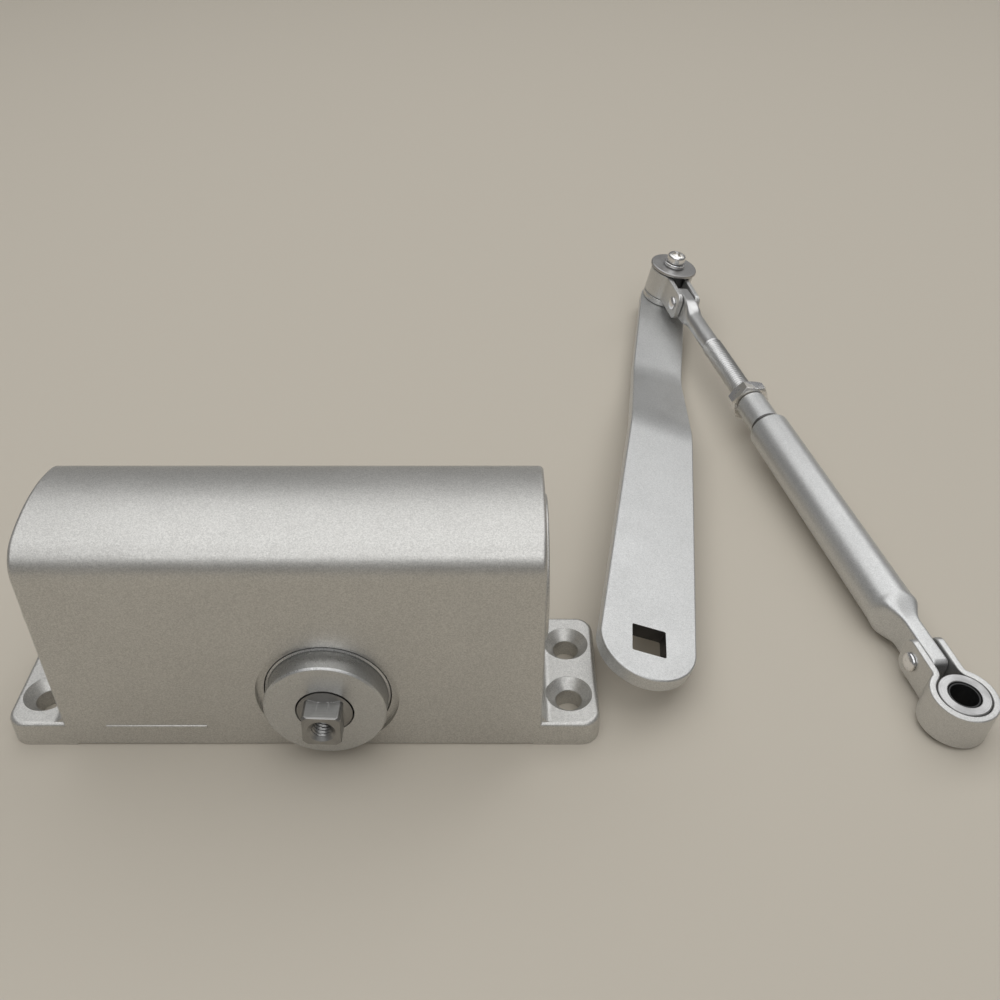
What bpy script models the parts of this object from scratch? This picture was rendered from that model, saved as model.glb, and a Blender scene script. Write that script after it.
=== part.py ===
"""A surface mounted rack and pinion door closer with its loose two piece arm.

Frame: the closer's mounting face lies in the plane z = 0, its origin is the middle of that face,
X runs along the closer's body, and the spindle axis runs along Y with its front end at -Y.
The arm lies on the same plane, to the right of the body. Sizes below are in metres.
"""

from math import acos, atan2, cos, pi, radians, sin, sqrt, tan

import bmesh
import bpy

MM = 0.001

# Clearances
REST_GAP = 0.3 * MM  # between pieces that touch
TURN_GAP = 0.2 * MM  # round a turning piece
SLIDE_GAP = 0.15 * MM  # round the piston

# Housing
BODY_LENGTH = 126.8 * MM
BODY_WIDTH = 41.0 * MM
SHOULDER_HEIGHT = 58.0 * MM  # where the flat sides meet the top corners
TOP_CORNER_RADIUS = 9.0 * MM
CROWN_RADIUS = 50.0 * MM
BOTTOM_CORNER_RADIUS = 0.8 * MM
END_ROUNDING = 1.2 * MM
LUG_REACH = 15.6 * MM
LUG_THICKNESS = 7.9 * MM
LUG_CORNER_RADIUS = 5.0 * MM
LUG_TOP_ROUNDING = 1.2 * MM
LUG_FILLET = 2.6 * MM
SCREW_SPACING_X = 142.0 * MM
SCREW_SPACING_Y = 19.0 * MM
SCREW_HOLE_RADIUS = 3.6 * MM
COUNTERSINK_RADIUS = 6.3 * MM
BORE_RADIUS = 17.5 * MM
PLUG_DEPTH = 10.0 * MM
PLUG_RIM_WIDTH = 1.4 * MM  # the rim beyond the bore
PLUG_RIM_HEIGHT = 0.8 * MM
PLUG_RIM_SEAT = 2.0 * MM

# Spindle with its rack drive
SPINDLE_X = 7.7 * MM
SPINDLE_HEIGHT = 18.8 * MM
JOURNAL_RADIUS = 7.1 * MM
TEETH = 11
MODULE = 2.0 * MM
GEAR_WIDTH = 20.0 * MM
PRESSURE_ANGLE = radians(20.0)
GEAR_ADDENDUM = 1.6 * MM
GEAR_DEDENDUM = 1.7 * MM
RACK_ADDENDUM = 1.2 * MM
RACK_DEDENDUM = 2.0 * MM
RACK_INSET = 2.0 * MM  # from the bore's lowest line up to the pitch line
BACKLASH = 0.3 * MM
OPENING_ANGLE = radians(150.0)
SQUARE_ACROSS = 9.8 * MM
SQUARE_LENGTH = 6.4 * MM
SQUARE_CORNER = 0.7 * MM
SHOULDER_CONE = 1.2 * MM  # the journal's cone, out to the square
SQUARE_TURN = radians(-3.0)
SPINDLE_THREAD_RADIUS = 2.6 * MM
SPINDLE_THREAD_DEPTH = 12.0 * MM

# Bearing caps
RECESS_RADIUS = 18.5 * MM
RECESS_DEPTH = 1.4 * MM
CAP_BODY_RADIUS = 16.2 * MM
CAP_FACE_RADIUS = 15.7 * MM
CAP_STANDING = 5.2 * MM
CAP_LIP = 1.6 * MM
BEARING_WALL = 2.6 * MM
BEARING_LENGTH = 5.2 * MM
CAP_BORE_WALL = 0.6 * MM  # metal between a cap's seat and the piston bore

# Piston
PISTON_HEAD = 7.4 * MM
RACK_RUNOUT = 8.3 * MM
SPRING_POCKET_RADIUS = 12.3 * MM
SPRING_POCKET_DEPTH = 19.0 * MM
BALL_RADIUS = 1.9 * MM
OIL_WAY_RADIUS = 1.1 * MM

# Spring
SPRING_WIRE_RADIUS = 1.4 * MM
SPRING_TURNS = 8.5
SEAT_THICKNESS = 2.4 * MM

# Speed valves
VALVE_HEIGHT = 15.0 * MM
VALVE_SPREAD = 12.5 * MM
VALVE_RADIUS = 2.9 * MM
VALVE_LENGTH = 12.0 * MM
VALVE_SINK = 0.8 * MM

# Main arm
ARM_CENTRE = (93.7 * MM, 3.4 * MM, 15.15 * MM)  # middle of its square hole, on the top face
ARM_LEAN = (radians(0.76), radians(16.72), radians(-8.66))
ARM_LENGTH = 226.1 * MM
ARM_THICKNESS = 4.6 * MM
ARM_HEAD_RADIUS = 14.2 * MM
ARM_WAIST = 11.6 * MM  # half width where the arm starts to step down
ARM_TIP = 10.0 * MM  # half width at the elbow
ARM_STEP_START = 108.3 * MM
ARM_STEP_END = 158.0 * MM
ARM_STEP = 10.15 * MM
ARM_TWIST = radians(-5.0)  # of the elbow end, taken up in the step
ARM_EDGE = 0.6 * MM
ARM_SQUARE_PLAY = 0.2 * MM  # of the arm's square hole on the spindle's square
ARM_SQUARE_TURN = radians(3.5)

# Elbow
ELBOW_SWING = radians(20.17)  # between the two arms
ELBOW_TILT = radians(2.64)  # of the forearm over the strap
STUD_RADIUS = 4.9 * MM
STUD_SHANK_RADIUS = 4.4 * MM
COLLAR_RADIUS = 9.4 * MM
COLLAR_HEIGHT = 2.6 * MM
SCREW_SHANK_RADIUS = 2.0 * MM
SCREW_HEAD_RADIUS = 4.0 * MM
SCREW_HEAD_HEIGHT = 4.0 * MM
WASHER_RADIUS = 10.1 * MM
WASHER_THICKNESS = 1.4 * MM
SPRING_WASHER_RADIUS = 4.7 * MM
SPRING_WASHER_THICKNESS = 1.4 * MM

# Straps, one at the elbow and one at the shoe
SLEEVE_RADIUS = 7.2 * MM
STRAP_THICKNESS = 2.0 * MM
STRAP_HEIGHT = 11.2 * MM
STRAP_NECK_RADIUS = 3.0 * MM
STRAP_END_ROUNDING = 3.0 * MM
EAR_OVERHANG = 4.9 * MM
ELBOW_REACH = 20.0 * MM
SHOE_REACH = 17.2 * MM
TONGUE_THICKNESS = 5.2 * MM
TONGUE_HEIGHT = 10.2 * MM
TONGUE_END = 5.6 * MM  # beyond the rivet
TONGUE_CORNER = 1.6 * MM
RIVET_RADIUS = 1.9 * MM
RIVET_HEAD_RADIUS = 2.8 * MM
RIVET_HEAD_HEIGHT = 1.1 * MM
RIVET_FLANGE = 0.3 * MM

# Forearm
FOREARM_LENGTH = 208.3 * MM
FOREARM_TWIST = radians(6.24)
ROD_RADIUS = 3.65 * MM
THREAD_RADIUS = 4.0 * MM
THREAD_START = 35.5 * MM
ROD_LENGTH = 142.0 * MM
NECK_START = 78.0 * MM
NECK_LENGTH = 15.2 * MM
NECK_RADIUS = 5.6 * MM
GROOVE_WIDTH = 1.8 * MM
GROOVE_DEPTH = 0.8 * MM
TUBE_RADIUS = 7.3 * MM
TONGUE_TRANSITION = 10.0 * MM
TONGUE_LENGTH = 11.0 * MM
NUT_ACROSS = 13.4 * MM
NUT_THICKNESS = 5.2 * MM
NUT_TURN = radians(30.0)

# Shoe
SHOE_TILT = radians(0.8)
LINER_BORE_RADIUS = 3.8 * MM
LINER_WALL = 0.45 * MM

# Sizes that follow from the ones above
HALF_LENGTH = BODY_LENGTH / 2
HALF_WIDTH = BODY_WIDTH / 2
PITCH_RADIUS = TEETH * MODULE / 2
TOOTH_PITCH = pi * MODULE
RACK_LINE = SPINDLE_HEIGHT + PITCH_RADIUS
BORE_HEIGHT = RACK_LINE - RACK_INSET + BORE_RADIUS
PLUG_RIM_RADIUS = BORE_RADIUS + PLUG_RIM_WIDTH
TRAVEL = OPENING_ANGLE * PITCH_RADIUS
GEAR_CAVITY_RADIUS = PITCH_RADIUS + GEAR_ADDENDUM + 0.7 * MM
CAP_SEAT_RADIUS = CAP_BODY_RADIUS + REST_GAP
CAP_SEAT_DROP = BORE_HEIGHT - SPINDLE_HEIGHT - CAP_SEAT_RADIUS
CAP_INNER = sqrt(max(0.0, BORE_RADIUS**2 - CAP_SEAT_DROP**2)) + CAP_BORE_WALL
PLUG_FACE = HALF_LENGTH - PLUG_DEPTH
PISTON_LEFT = SPINDLE_X - RACK_RUNOUT - PISTON_HEAD
PISTON_RIGHT = SPINDLE_X + TRAVEL + RACK_RUNOUT + PISTON_HEAD
BEARING_BORE = JOURNAL_RADIUS + TURN_GAP
BEARING_RADIUS = BEARING_BORE + BEARING_WALL
CAP_FACE = HALF_WIDTH + CAP_STANDING
SPINDLE_SHOULDER = CAP_FACE + 0.1 * MM
SPINDLE_END = SPINDLE_SHOULDER + SQUARE_LENGTH
STRAP_INNER = SLEEVE_RADIUS + TURN_GAP
EAR_CENTRE = TONGUE_THICKNESS / 2 + REST_GAP + STRAP_THICKNESS / 2
COLLAR_BASE = REST_GAP / 2
COLLAR_TOP = COLLAR_BASE + COLLAR_HEIGHT
STRAP_BASE = COLLAR_TOP + REST_GAP
STRAP_MIDDLE = STRAP_BASE + STRAP_HEIGHT / 2
STRAP_TOP = STRAP_BASE + STRAP_HEIGHT
STUD_TOP = STRAP_TOP + 0.4 * MM
WASHER_BASE = STUD_TOP + REST_GAP
SPRING_WASHER_BASE = WASHER_BASE + WASHER_THICKNESS + TURN_GAP
STUD_THREAD_RADIUS = SCREW_SHANK_RADIUS + REST_GAP
TUBE_BORE_RADIUS = THREAD_RADIUS + REST_GAP
SCREW_HEAD_BASE = SPRING_WASHER_BASE + SPRING_WASHER_THICKNESS + TURN_GAP

ROUND = 36  # segments of a large round piece
MIDDLE_ROUND = 24
SMALL_ROUND = 16
TINY_ROUND = 12
FACING_FRONT = (radians(90), 0, 0)  # turns local Z to -Y
FACING_BACK = (radians(-90), 0, 0)  # turns local Z to +Y
FACING_RIGHT = (0, radians(90), 0)  # turns local Z to +X
FACING_LEFT = (0, radians(-90), 0)  # turns local Z to -X


def clear_scene():
    for obj in list(bpy.data.objects):
        bpy.data.objects.remove(obj)


def material(name, colour, roughness, metallic):
    made = bpy.data.materials.new(name)
    made.use_nodes = True
    shader = made.node_tree.nodes["Principled BSDF"]
    shader.inputs["Base Color"].default_value = (*colour, 1.0)
    shader.inputs["Roughness"].default_value = roughness
    shader.inputs["Metallic"].default_value = metallic
    return made


def frame(name, parent=None, location=(0, 0, 0), rotation=(0, 0, 0)):
    """An empty that carries pieces."""
    empty = bpy.data.objects.new(name, None)
    bpy.context.scene.collection.objects.link(empty)
    empty.parent = parent
    empty.location = location
    empty.rotation_euler = rotation
    return empty


def piece(name, bm, parent=None, location=(0, 0, 0), rotation=(0, 0, 0), finish=None):
    """Turns a finished bmesh into a named object, smooth on its round faces."""
    bmesh.ops.remove_doubles(bm, verts=bm.verts, dist=1e-7)
    bmesh.ops.recalc_face_normals(bm, faces=bm.faces)
    mesh = bpy.data.meshes.new(name)
    bm.to_mesh(mesh)
    bm.free()
    mesh.shade_smooth()
    mesh.set_sharp_from_angle(angle=radians(35))
    obj = bpy.data.objects.new(name, mesh)
    bpy.context.scene.collection.objects.link(obj)
    obj.parent = parent
    obj.location = location
    obj.rotation_euler = rotation
    if finish is not None:
        obj.data.materials.append(finish)
    return obj


def tool(name, bm, parent=None, location=(0, 0, 0), rotation=(0, 0, 0)):
    """A hidden solid for a Boolean."""
    obj = piece(name, bm, parent, location, rotation)
    obj.hide_render = True
    obj.display_type = "WIRE"
    return obj


def combine(target, operation, *others):
    for other in others:
        modifier = target.modifiers.new(other.name, "BOOLEAN")
        modifier.operation = operation
        modifier.object = other
        modifier.solver = "EXACT"


def bevel(obj, width, segments=2, angle=radians(50)):
    modifier = obj.modifiers.new("edge", "BEVEL")
    modifier.width = width
    modifier.segments = segments
    modifier.limit_method = "ANGLE"
    modifier.angle_limit = angle


def turned(profile, segments=ROUND):
    """A solid turned round local Z from a closed profile of (radius, height) points."""
    bm = bmesh.new()
    rings = []
    for radius, height in profile:
        if radius < 1e-9:
            rings.append([bm.verts.new((0, 0, height))])
            continue
        angles = [2 * pi * i / segments for i in range(segments)]
        rings.append([bm.verts.new((radius * cos(a), radius * sin(a), height)) for a in angles])
    for ring, following in zip(rings, rings[1:] + rings[:1]):
        if len(ring) == 1 and len(following) == 1:
            continue
        for i in range(segments):
            corners = [ring[i % len(ring)], ring[(i + 1) % len(ring)]]
            corners += [following[(i + 1) % len(following)], following[i % len(following)]]
            distinct = [v for k, v in enumerate(corners) if v not in corners[:k]]
            bm.faces.new(distinct)
    return bm


def extruded(outline, low, high):
    """A prism along local Z from a closed outline of (x, y) points."""
    bm = bmesh.new()
    bottom = [bm.verts.new((x, y, low)) for x, y in outline]
    top = [bm.verts.new((x, y, high)) for x, y in outline]
    bm.faces.new(bottom[::-1])
    bm.faces.new(top)
    for i in range(len(outline)):
        j = (i + 1) % len(outline)
        bm.faces.new((bottom[i], bottom[j], top[j], top[i]))
    return bm


def lofted(sections):
    """A solid through sections with equal numbers of points, closed by flat ends."""
    bm = bmesh.new()
    rings = [[bm.verts.new(point) for point in section] for section in sections]
    bm.faces.new(rings[0][::-1])
    bm.faces.new(rings[-1])
    for ring, following in zip(rings, rings[1:]):
        for i in range(len(ring)):
            j = (i + 1) % len(ring)
            bm.faces.new((ring[i], ring[j], following[j], following[i]))
    return bm


def arc(centre, radius, start, end, count):
    """Points on a circle from one angle to another, both included."""
    angles = [start + (end - start) * i / count for i in range(count + 1)]
    return [(centre[0] + radius * cos(a), centre[1] + radius * sin(a)) for a in angles]


def rounded_box(half_x, half_y, radius, count=5):
    """Outline of a rectangle with round corners, counter-clockwise."""
    outline = []
    corners = ((1, 1, 0), (-1, 1, 1), (-1, -1, 2), (1, -1, 3))
    for sign_x, sign_y, quarter in corners:
        centre = (sign_x * (half_x - radius), sign_y * (half_y - radius))
        outline += arc(centre, radius, quarter * pi / 2, (quarter + 1) * pi / 2, count)
    return outline


def oval_section(x, half_y, half_z, power, count=SMALL_ROUND):
    """A section across local X, an ellipse at power 2 and squarer above it."""
    points = []
    for i in range(count):
        a = 2 * pi * (i + 0.5) / count
        y = abs(cos(a)) ** (2 / power) * (1 if cos(a) > 0 else -1)
        z = abs(sin(a)) ** (2 / power) * (1 if sin(a) > 0 else -1)
        points.append((x, half_y * y, half_z * z))
    return points


def rod_along(axis_length, radius, segments=SMALL_ROUND):
    """A plain cylinder along local Z, its middle at the origin."""
    half = axis_length / 2
    return turned([(0, -half), (radius, -half), (radius, half), (0, half)], segments)


def body_outline(inset=0.0):
    """Cross-section of the housing in (y, z): flat sides, round corners and a shallow crown."""
    radius = TOP_CORNER_RADIUS
    corner_y = HALF_WIDTH - radius
    crown_centre = SHOULDER_HEIGHT - sqrt((CROWN_RADIUS - radius) ** 2 - corner_y**2)
    slope = atan2(SHOULDER_HEIGHT - crown_centre, corner_y)
    low = BOTTOM_CORNER_RADIUS
    right = arc((corner_y, SHOULDER_HEIGHT), radius - inset, 0, slope, 4)
    crown = arc((0, crown_centre), CROWN_RADIUS - inset, slope, pi - slope, 10)
    left = arc((-corner_y, SHOULDER_HEIGHT), radius - inset, pi - slope, pi, 4)
    side = HALF_WIDTH - inset
    foot_left = arc((-side + low, low + inset), low, pi, 1.5 * pi, 2)
    foot_right = arc((side - low, low + inset), low, 1.5 * pi, 2 * pi, 2)
    return right + crown[1:-1] + left + foot_left + foot_right


def housing_block():
    """The body's section carried along X, drawn in at both ends to round its end edges."""
    sections = []
    steps = [i / 3 for i in range(4)]
    for step in steps:
        turn = step * pi / 2
        x = -HALF_LENGTH + END_ROUNDING * (1 - cos(turn))
        sections.append((x, END_ROUNDING * (1 - sin(turn))))
    sections += [(-x, inset) for x, inset in reversed(sections)]
    return lofted([[(x, y, z) for y, z in body_outline(inset)] for x, inset in sections])


def lug_block():
    """One mounting lug, from inside the body to its rounded outer end, for the right side."""
    root = HALF_LENGTH - 2 * END_ROUNDING
    end = HALF_LENGTH + LUG_REACH
    half = HALF_WIDTH - 0.02 * MM
    radius = LUG_CORNER_RADIUS
    outline = [(root, -half)]
    outline += arc((end - radius, -half + radius), radius, -pi / 2, 0, 6)
    outline += arc((end - radius, half - radius), radius, 0, pi / 2, 6)
    outline += [(root, half)]
    return extruded(outline, 0, LUG_THICKNESS)


def lug_fillet():
    """The concave strip between a lug and the body's end, for the right side, along local Z."""
    face = HALF_LENGTH - 0.4 * MM
    centre = (HALF_LENGTH + LUG_FILLET, LUG_THICKNESS + LUG_FILLET)
    outline = arc(centre, LUG_FILLET, pi, 1.5 * pi, 4)
    outline += [(outline[-1][0], LUG_THICKNESS - 1 * MM), (face, LUG_THICKNESS - 1 * MM)]
    outline += [(face, outline[0][1])]
    half = HALF_WIDTH - 0.6 * MM
    return extruded(outline, -half, half)


def screw_hole():
    """Clearance hole with a countersink, from below the lug to above it."""
    sink = COUNTERSINK_RADIUS - SCREW_HOLE_RADIUS
    top = LUG_THICKNESS
    outer = COUNTERSINK_RADIUS
    profile = [(0, -MM), (SCREW_HOLE_RADIUS, -MM), (SCREW_HOLE_RADIUS, top - sink)]
    profile += [(outer, top), (outer, top + 6 * MM), (0, top + 6 * MM)]
    return turned(profile, MIDDLE_ROUND)


def spindle_cavity():
    """The cross bore along the spindle: gear room in the middle, a cap seat at each end."""
    seat = CAP_SEAT_RADIUS
    floor = HALF_WIDTH - RECESS_DEPTH
    profile = [(0, -HALF_WIDTH - MM), (RECESS_RADIUS, -HALF_WIDTH - MM), (RECESS_RADIUS, -floor)]
    profile += [(seat, -floor), (seat, -CAP_INNER)]
    profile += [(GEAR_CAVITY_RADIUS, -CAP_INNER), (GEAR_CAVITY_RADIUS, CAP_INNER)]
    profile += [(seat, CAP_INNER), (seat, floor), (RECESS_RADIUS, floor)]
    profile += [(RECESS_RADIUS, HALF_WIDTH + MM), (0, HALF_WIDTH + MM)]
    return turned(profile)


def cylinder_bore():
    """The piston bore along X, right through, with a counterbore for each plug's rim."""
    rim = PLUG_RIM_RADIUS + REST_GAP
    floor = HALF_LENGTH - PLUG_RIM_SEAT
    profile = [(0, -HALF_LENGTH - MM), (rim, -HALF_LENGTH - MM), (rim, -floor)]
    profile += [(BORE_RADIUS, -floor), (BORE_RADIUS, floor), (rim, floor)]
    profile += [(rim, HALF_LENGTH + MM), (0, HALF_LENGTH + MM)]
    return turned(profile)


def valve_bore():
    """A blind hole for a speed valve with its narrow oil way beyond, measured from its mouth."""
    radius = VALVE_RADIUS + REST_GAP
    depth = VALVE_LENGTH + VALVE_SINK + REST_GAP
    profile = [(0, MM), (radius, MM), (radius, -depth), (OIL_WAY_RADIUS, -depth - MM)]
    profile += [(OIL_WAY_RADIUS, -depth - 5 * MM), (0, -depth - 5 * MM)]
    return turned(profile, TINY_ROUND)


def valve_places():
    """Name, y and z of each speed valve on the right end."""
    return (("sweep", -VALVE_SPREAD, VALVE_HEIGHT), ("latch", VALVE_SPREAD, VALVE_HEIGHT))


def make_housing(body, paint):
    housing = piece("housing", housing_block(), body, finish=paint)
    for side, turn in (("right", 0), ("left", pi)):
        lug = tool(f"lug_{side}", lug_block(), body, rotation=(0, 0, turn))
        bevel(lug, LUG_TOP_ROUNDING, 2)
        fillet = tool(f"fillet_{side}", lug_fillet(), body, rotation=(radians(90), 0, turn))
        combine(housing, "UNION", lug, fillet)
    for i, sign_x in enumerate((-1, 1)):
        for j, sign_y in enumerate((-1, 1)):
            place = (sign_x * SCREW_SPACING_X / 2, sign_y * SCREW_SPACING_Y / 2, 0)
            hole = tool(f"screw_hole_{i}{j}", screw_hole(), body, place)
            combine(housing, "DIFFERENCE", hole)
    cross = tool(
        "spindle_cavity", spindle_cavity(), body, (SPINDLE_X, 0, SPINDLE_HEIGHT), FACING_FRONT
    )
    bore = tool("cylinder_bore", cylinder_bore(), body, (0, 0, BORE_HEIGHT), FACING_RIGHT)
    combine(housing, "DIFFERENCE", bore, cross)
    for name, y, z in valve_places():
        place = (HALF_LENGTH, y, z)
        hole = tool(f"{name}_valve_hole", valve_bore(), body, place, FACING_RIGHT)
        combine(housing, "DIFFERENCE", hole)
    return housing


def make_end_plugs(body, paint, rubber):
    """A turned plug in each end of the bore, with an O-ring in a groove."""
    rim = PLUG_RIM_RADIUS
    barrel = BORE_RADIUS - REST_GAP
    chamfer = 0.5 * MM
    seat = -PLUG_RIM_SEAT + REST_GAP
    groove_low, groove_high = -6.6 * MM, -4.0 * MM
    groove_radius = barrel - 1.9 * MM
    profile = [(0, -PLUG_DEPTH), (barrel - chamfer, -PLUG_DEPTH), (barrel, -PLUG_DEPTH + chamfer)]
    profile += [(barrel, groove_low), (groove_radius, groove_low), (groove_radius, groove_high)]
    profile += [(barrel, groove_high), (barrel, seat), (rim, seat)]
    profile += [(rim, PLUG_RIM_HEIGHT - chamfer), (rim - chamfer, PLUG_RIM_HEIGHT)]
    profile += [(0, PLUG_RIM_HEIGHT)]
    ring_radius = (barrel - groove_radius) / 2 - TURN_GAP / 2
    ring_centre = (groove_radius + TURN_GAP / 2 + ring_radius, (groove_low + groove_high) / 2)
    ring = arc(ring_centre, ring_radius, 0, 2 * pi * 5 / 6, 5)
    for side, sign, facing in (("right", 1, FACING_RIGHT), ("left", -1, FACING_LEFT)):
        place = (sign * HALF_LENGTH, 0, BORE_HEIGHT)
        piece(f"end_plug_{side}", turned(profile), body, place, facing, paint)
        piece(f"plug_seal_{side}", turned(ring), body, place, facing, rubber)


def make_bearing_caps(body, paint, steel, rubber):
    """Screwed caps over both spindle bearings, each with a bush and a lip seal inside."""
    mouth = JOURNAL_RADIUS + REST_GAP
    pocket = BEARING_RADIUS + REST_GAP
    shelf = CAP_FACE - CAP_LIP
    chamfer = 0.5 * MM
    shoulder = HALF_WIDTH - RECESS_DEPTH
    inner = CAP_INNER + REST_GAP
    cap = [(pocket, inner), (CAP_BODY_RADIUS, inner), (CAP_BODY_RADIUS, shoulder)]
    cap += [(CAP_FACE_RADIUS, shoulder + REST_GAP), (CAP_FACE_RADIUS, CAP_FACE - chamfer)]
    cap += [(CAP_FACE_RADIUS - chamfer, CAP_FACE), (mouth, CAP_FACE), (mouth, shelf)]
    cap += [(pocket, shelf)]
    low = inner
    high = low + BEARING_LENGTH
    bush = [(BEARING_BORE, low), (BEARING_RADIUS, low)]
    bush += [(BEARING_RADIUS, high), (BEARING_BORE, high)]
    seal_low = high + REST_GAP
    seal_high = shelf - REST_GAP
    seal = [(BEARING_BORE, seal_low), (BEARING_RADIUS, seal_low)]
    seal += [(BEARING_RADIUS, seal_high), (BEARING_BORE + MM, seal_high)]
    for side, facing in (("front", FACING_FRONT), ("rear", FACING_BACK)):
        place = (SPINDLE_X, 0, SPINDLE_HEIGHT)
        piece(f"bearing_cap_{side}", turned(cap), body, place, facing, paint)
        piece(f"spindle_bearing_{side}", turned(bush, MIDDLE_ROUND), body, place, facing, steel)
        piece(f"spindle_seal_{side}", turned(seal, MIDDLE_ROUND), body, place, facing, rubber)


def involute_half_angle(radius):
    """Half the angle that a gear tooth spans at a radius."""
    base = PITCH_RADIUS * cos(PRESSURE_ANGLE)
    thickness = TOOTH_PITCH / 2 - BACKLASH
    at_pitch = thickness / (2 * PITCH_RADIUS)
    pressure = acos(min(1.0, base / radius))
    involute = tan(pressure) - pressure
    return at_pitch + tan(PRESSURE_ANGLE) - PRESSURE_ANGLE - involute


def gear_outline():
    """Involute teeth with a gap pointing along local +Y."""
    base = PITCH_RADIUS * cos(PRESSURE_ANGLE)
    root = PITCH_RADIUS - GEAR_DEDENDUM
    tip = PITCH_RADIUS + GEAR_ADDENDUM
    radii = [root] + [base + (tip - base) * i / 4 for i in range(5)]
    outline = []
    for tooth in range(TEETH):
        middle = pi / 2 + 2 * pi * (tooth + 0.5) / TEETH
        rising = [(r, middle - involute_half_angle(max(r, base))) for r in radii]
        falling = [(r, middle + involute_half_angle(max(r, base))) for r in reversed(radii)]
        outline += [(r * cos(a), r * sin(a)) for r, a in rising + falling]
    return outline


def make_spindle(pinion, steel):
    """The pinion shaft: a gear between two journals, with a square and a tapped hole each end."""
    collar = JOURNAL_RADIUS + 1.1 * MM
    collar_end = CAP_INNER - REST_GAP
    end = SPINDLE_SHOULDER
    half = [(collar, collar_end), (JOURNAL_RADIUS, collar_end)]
    half += [(JOURNAL_RADIUS, end), (SQUARE_ACROSS / 2, end + SHOULDER_CONE)]
    half += [(0, end + SHOULDER_CONE)]
    profile = [(r, -z) for r, z in reversed(half)] + half
    shaft = piece("pinion_shaft", turned(profile, MIDDLE_ROUND), pinion, finish=steel)
    gear = tool("gear_teeth", extruded(gear_outline(), -GEAR_WIDTH / 2, GEAR_WIDTH / 2), pinion)
    combine(shaft, "UNION", gear)
    side = SQUARE_ACROSS / 2
    cut = SQUARE_CORNER
    corners = [(side, side - cut), (side - cut, side), (cut - side, side), (-side, side - cut)]
    corners += [(-x, -y) for x, y in corners]
    for name, turn in (("front", 0), ("rear", pi)):
        square = extruded(corners, end - 2 * MM, SPINDLE_END)
        made = tool(f"square_{name}", square, pinion, rotation=(0, turn, SQUARE_TURN))
        bevel(made, 0.4 * MM, 1, radians(80))
        combine(shaft, "UNION", made)
    mouth = SPINDLE_THREAD_RADIUS + MM
    floor = SPINDLE_END - SPINDLE_THREAD_DEPTH
    bore = [(0, SPINDLE_END + MM), (0, floor), (SPINDLE_THREAD_RADIUS, floor)]
    bore += [(SPINDLE_THREAD_RADIUS, SPINDLE_END - 0.8 * MM), (mouth, SPINDLE_END)]
    bore += [(mouth, SPINDLE_END + MM)]
    for name, turn in (("front", 0), ("rear", pi)):
        hole = tool(f"tapped_hole_{name}", turned(bore, SMALL_ROUND), pinion, rotation=(0, turn, 0))
        combine(shaft, "DIFFERENCE", hole)


def rack_gap_outline():
    """What the rack's flat underside and tooth gaps remove, in (x, z) round the bore's axis."""
    line = RACK_LINE - BORE_HEIGHT
    tip = line - RACK_ADDENDUM
    root = line + RACK_DEDENDUM
    low = -BORE_RADIUS - MM
    start = SPINDLE_X - RACK_RUNOUT
    end = SPINDLE_X + TRAVEL + RACK_RUNOUT
    half_gap = TOOTH_PITCH / 4 + BACKLASH / 4
    spread = tan(PRESSURE_ANGLE)
    points = [(start, low), (start, root)]
    first = SPINDLE_X - 0.5 * TOOTH_PITCH
    count = int((end - first) / TOOTH_PITCH) + 1
    for k in range(-1, count):
        middle = first + k * TOOTH_PITCH
        at_root = half_gap - RACK_DEDENDUM * spread
        at_tip = half_gap + RACK_ADDENDUM * spread
        steps = ((-at_tip, tip), (-at_root, root), (at_root, root), (at_tip, tip))
        points += [(middle + x, z) for x, z in steps]
    inside = [p for p in points[2:] if start + 0.2 * MM < p[0] < end - 0.2 * MM]
    first_inside = (start, inside[0][1])
    last_inside = (end, inside[-1][1])
    return [(start, low), first_inside] + inside + [last_inside, (end, low)]


def make_piston(carriage, steel):
    """A hollow piston whose underside carries the rack."""
    chamfer = 0.8 * MM
    radius = BORE_RADIUS - SLIDE_GAP
    left, right = PISTON_LEFT, PISTON_RIGHT
    pocket_end = left + SPRING_POCKET_DEPTH
    land = 2.0 * MM
    groove = radius - 0.8 * MM
    profile = [(SPRING_POCKET_RADIUS, left), (radius - chamfer, left), (radius, left + chamfer)]
    profile += [(radius, left + land), (groove, left + land), (groove, left + 2 * land)]
    profile += [(radius, left + 2 * land), (radius, right - 2 * land), (groove, right - 2 * land)]
    profile += [(groove, right - land), (radius, right - land), (radius, right - chamfer)]
    profile += [(radius - chamfer, right), (0, right), (0, pocket_end)]
    profile += [(SPRING_POCKET_RADIUS, pocket_end)]
    piston = piece("piston", turned(profile), carriage, rotation=FACING_RIGHT, finish=steel)
    rack = extruded(rack_gap_outline(), -BORE_RADIUS, BORE_RADIUS)
    teeth = tool("rack_gaps", rack, carriage, rotation=(radians(90), 0, 0))
    pocket = BALL_RADIUS + REST_GAP
    depth = 5.6 * MM
    way = [(0, right + MM), (pocket + MM, right + MM), (pocket + MM, right - 2 * MM)]
    way += [(pocket, right - 2 * MM), (pocket, right - depth), (OIL_WAY_RADIUS, right - depth - MM)]
    way += [(OIL_WAY_RADIUS, right - PISTON_HEAD - 3 * MM), (0, right - PISTON_HEAD - 3 * MM)]
    passage = tool(
        "check_valve_passage", turned(way, TINY_ROUND), carriage, (0, 0, check_valve_drop()), FACING_RIGHT
    )
    combine(piston, "DIFFERENCE", teeth, passage)


def check_valve_drop():
    """Height of the check valve over the bore's axis, low enough to open into the rack's room."""
    return RACK_LINE - BORE_HEIGHT + RACK_DEDENDUM - 0.5 * MM + 2 * OIL_WAY_RADIUS


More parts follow.
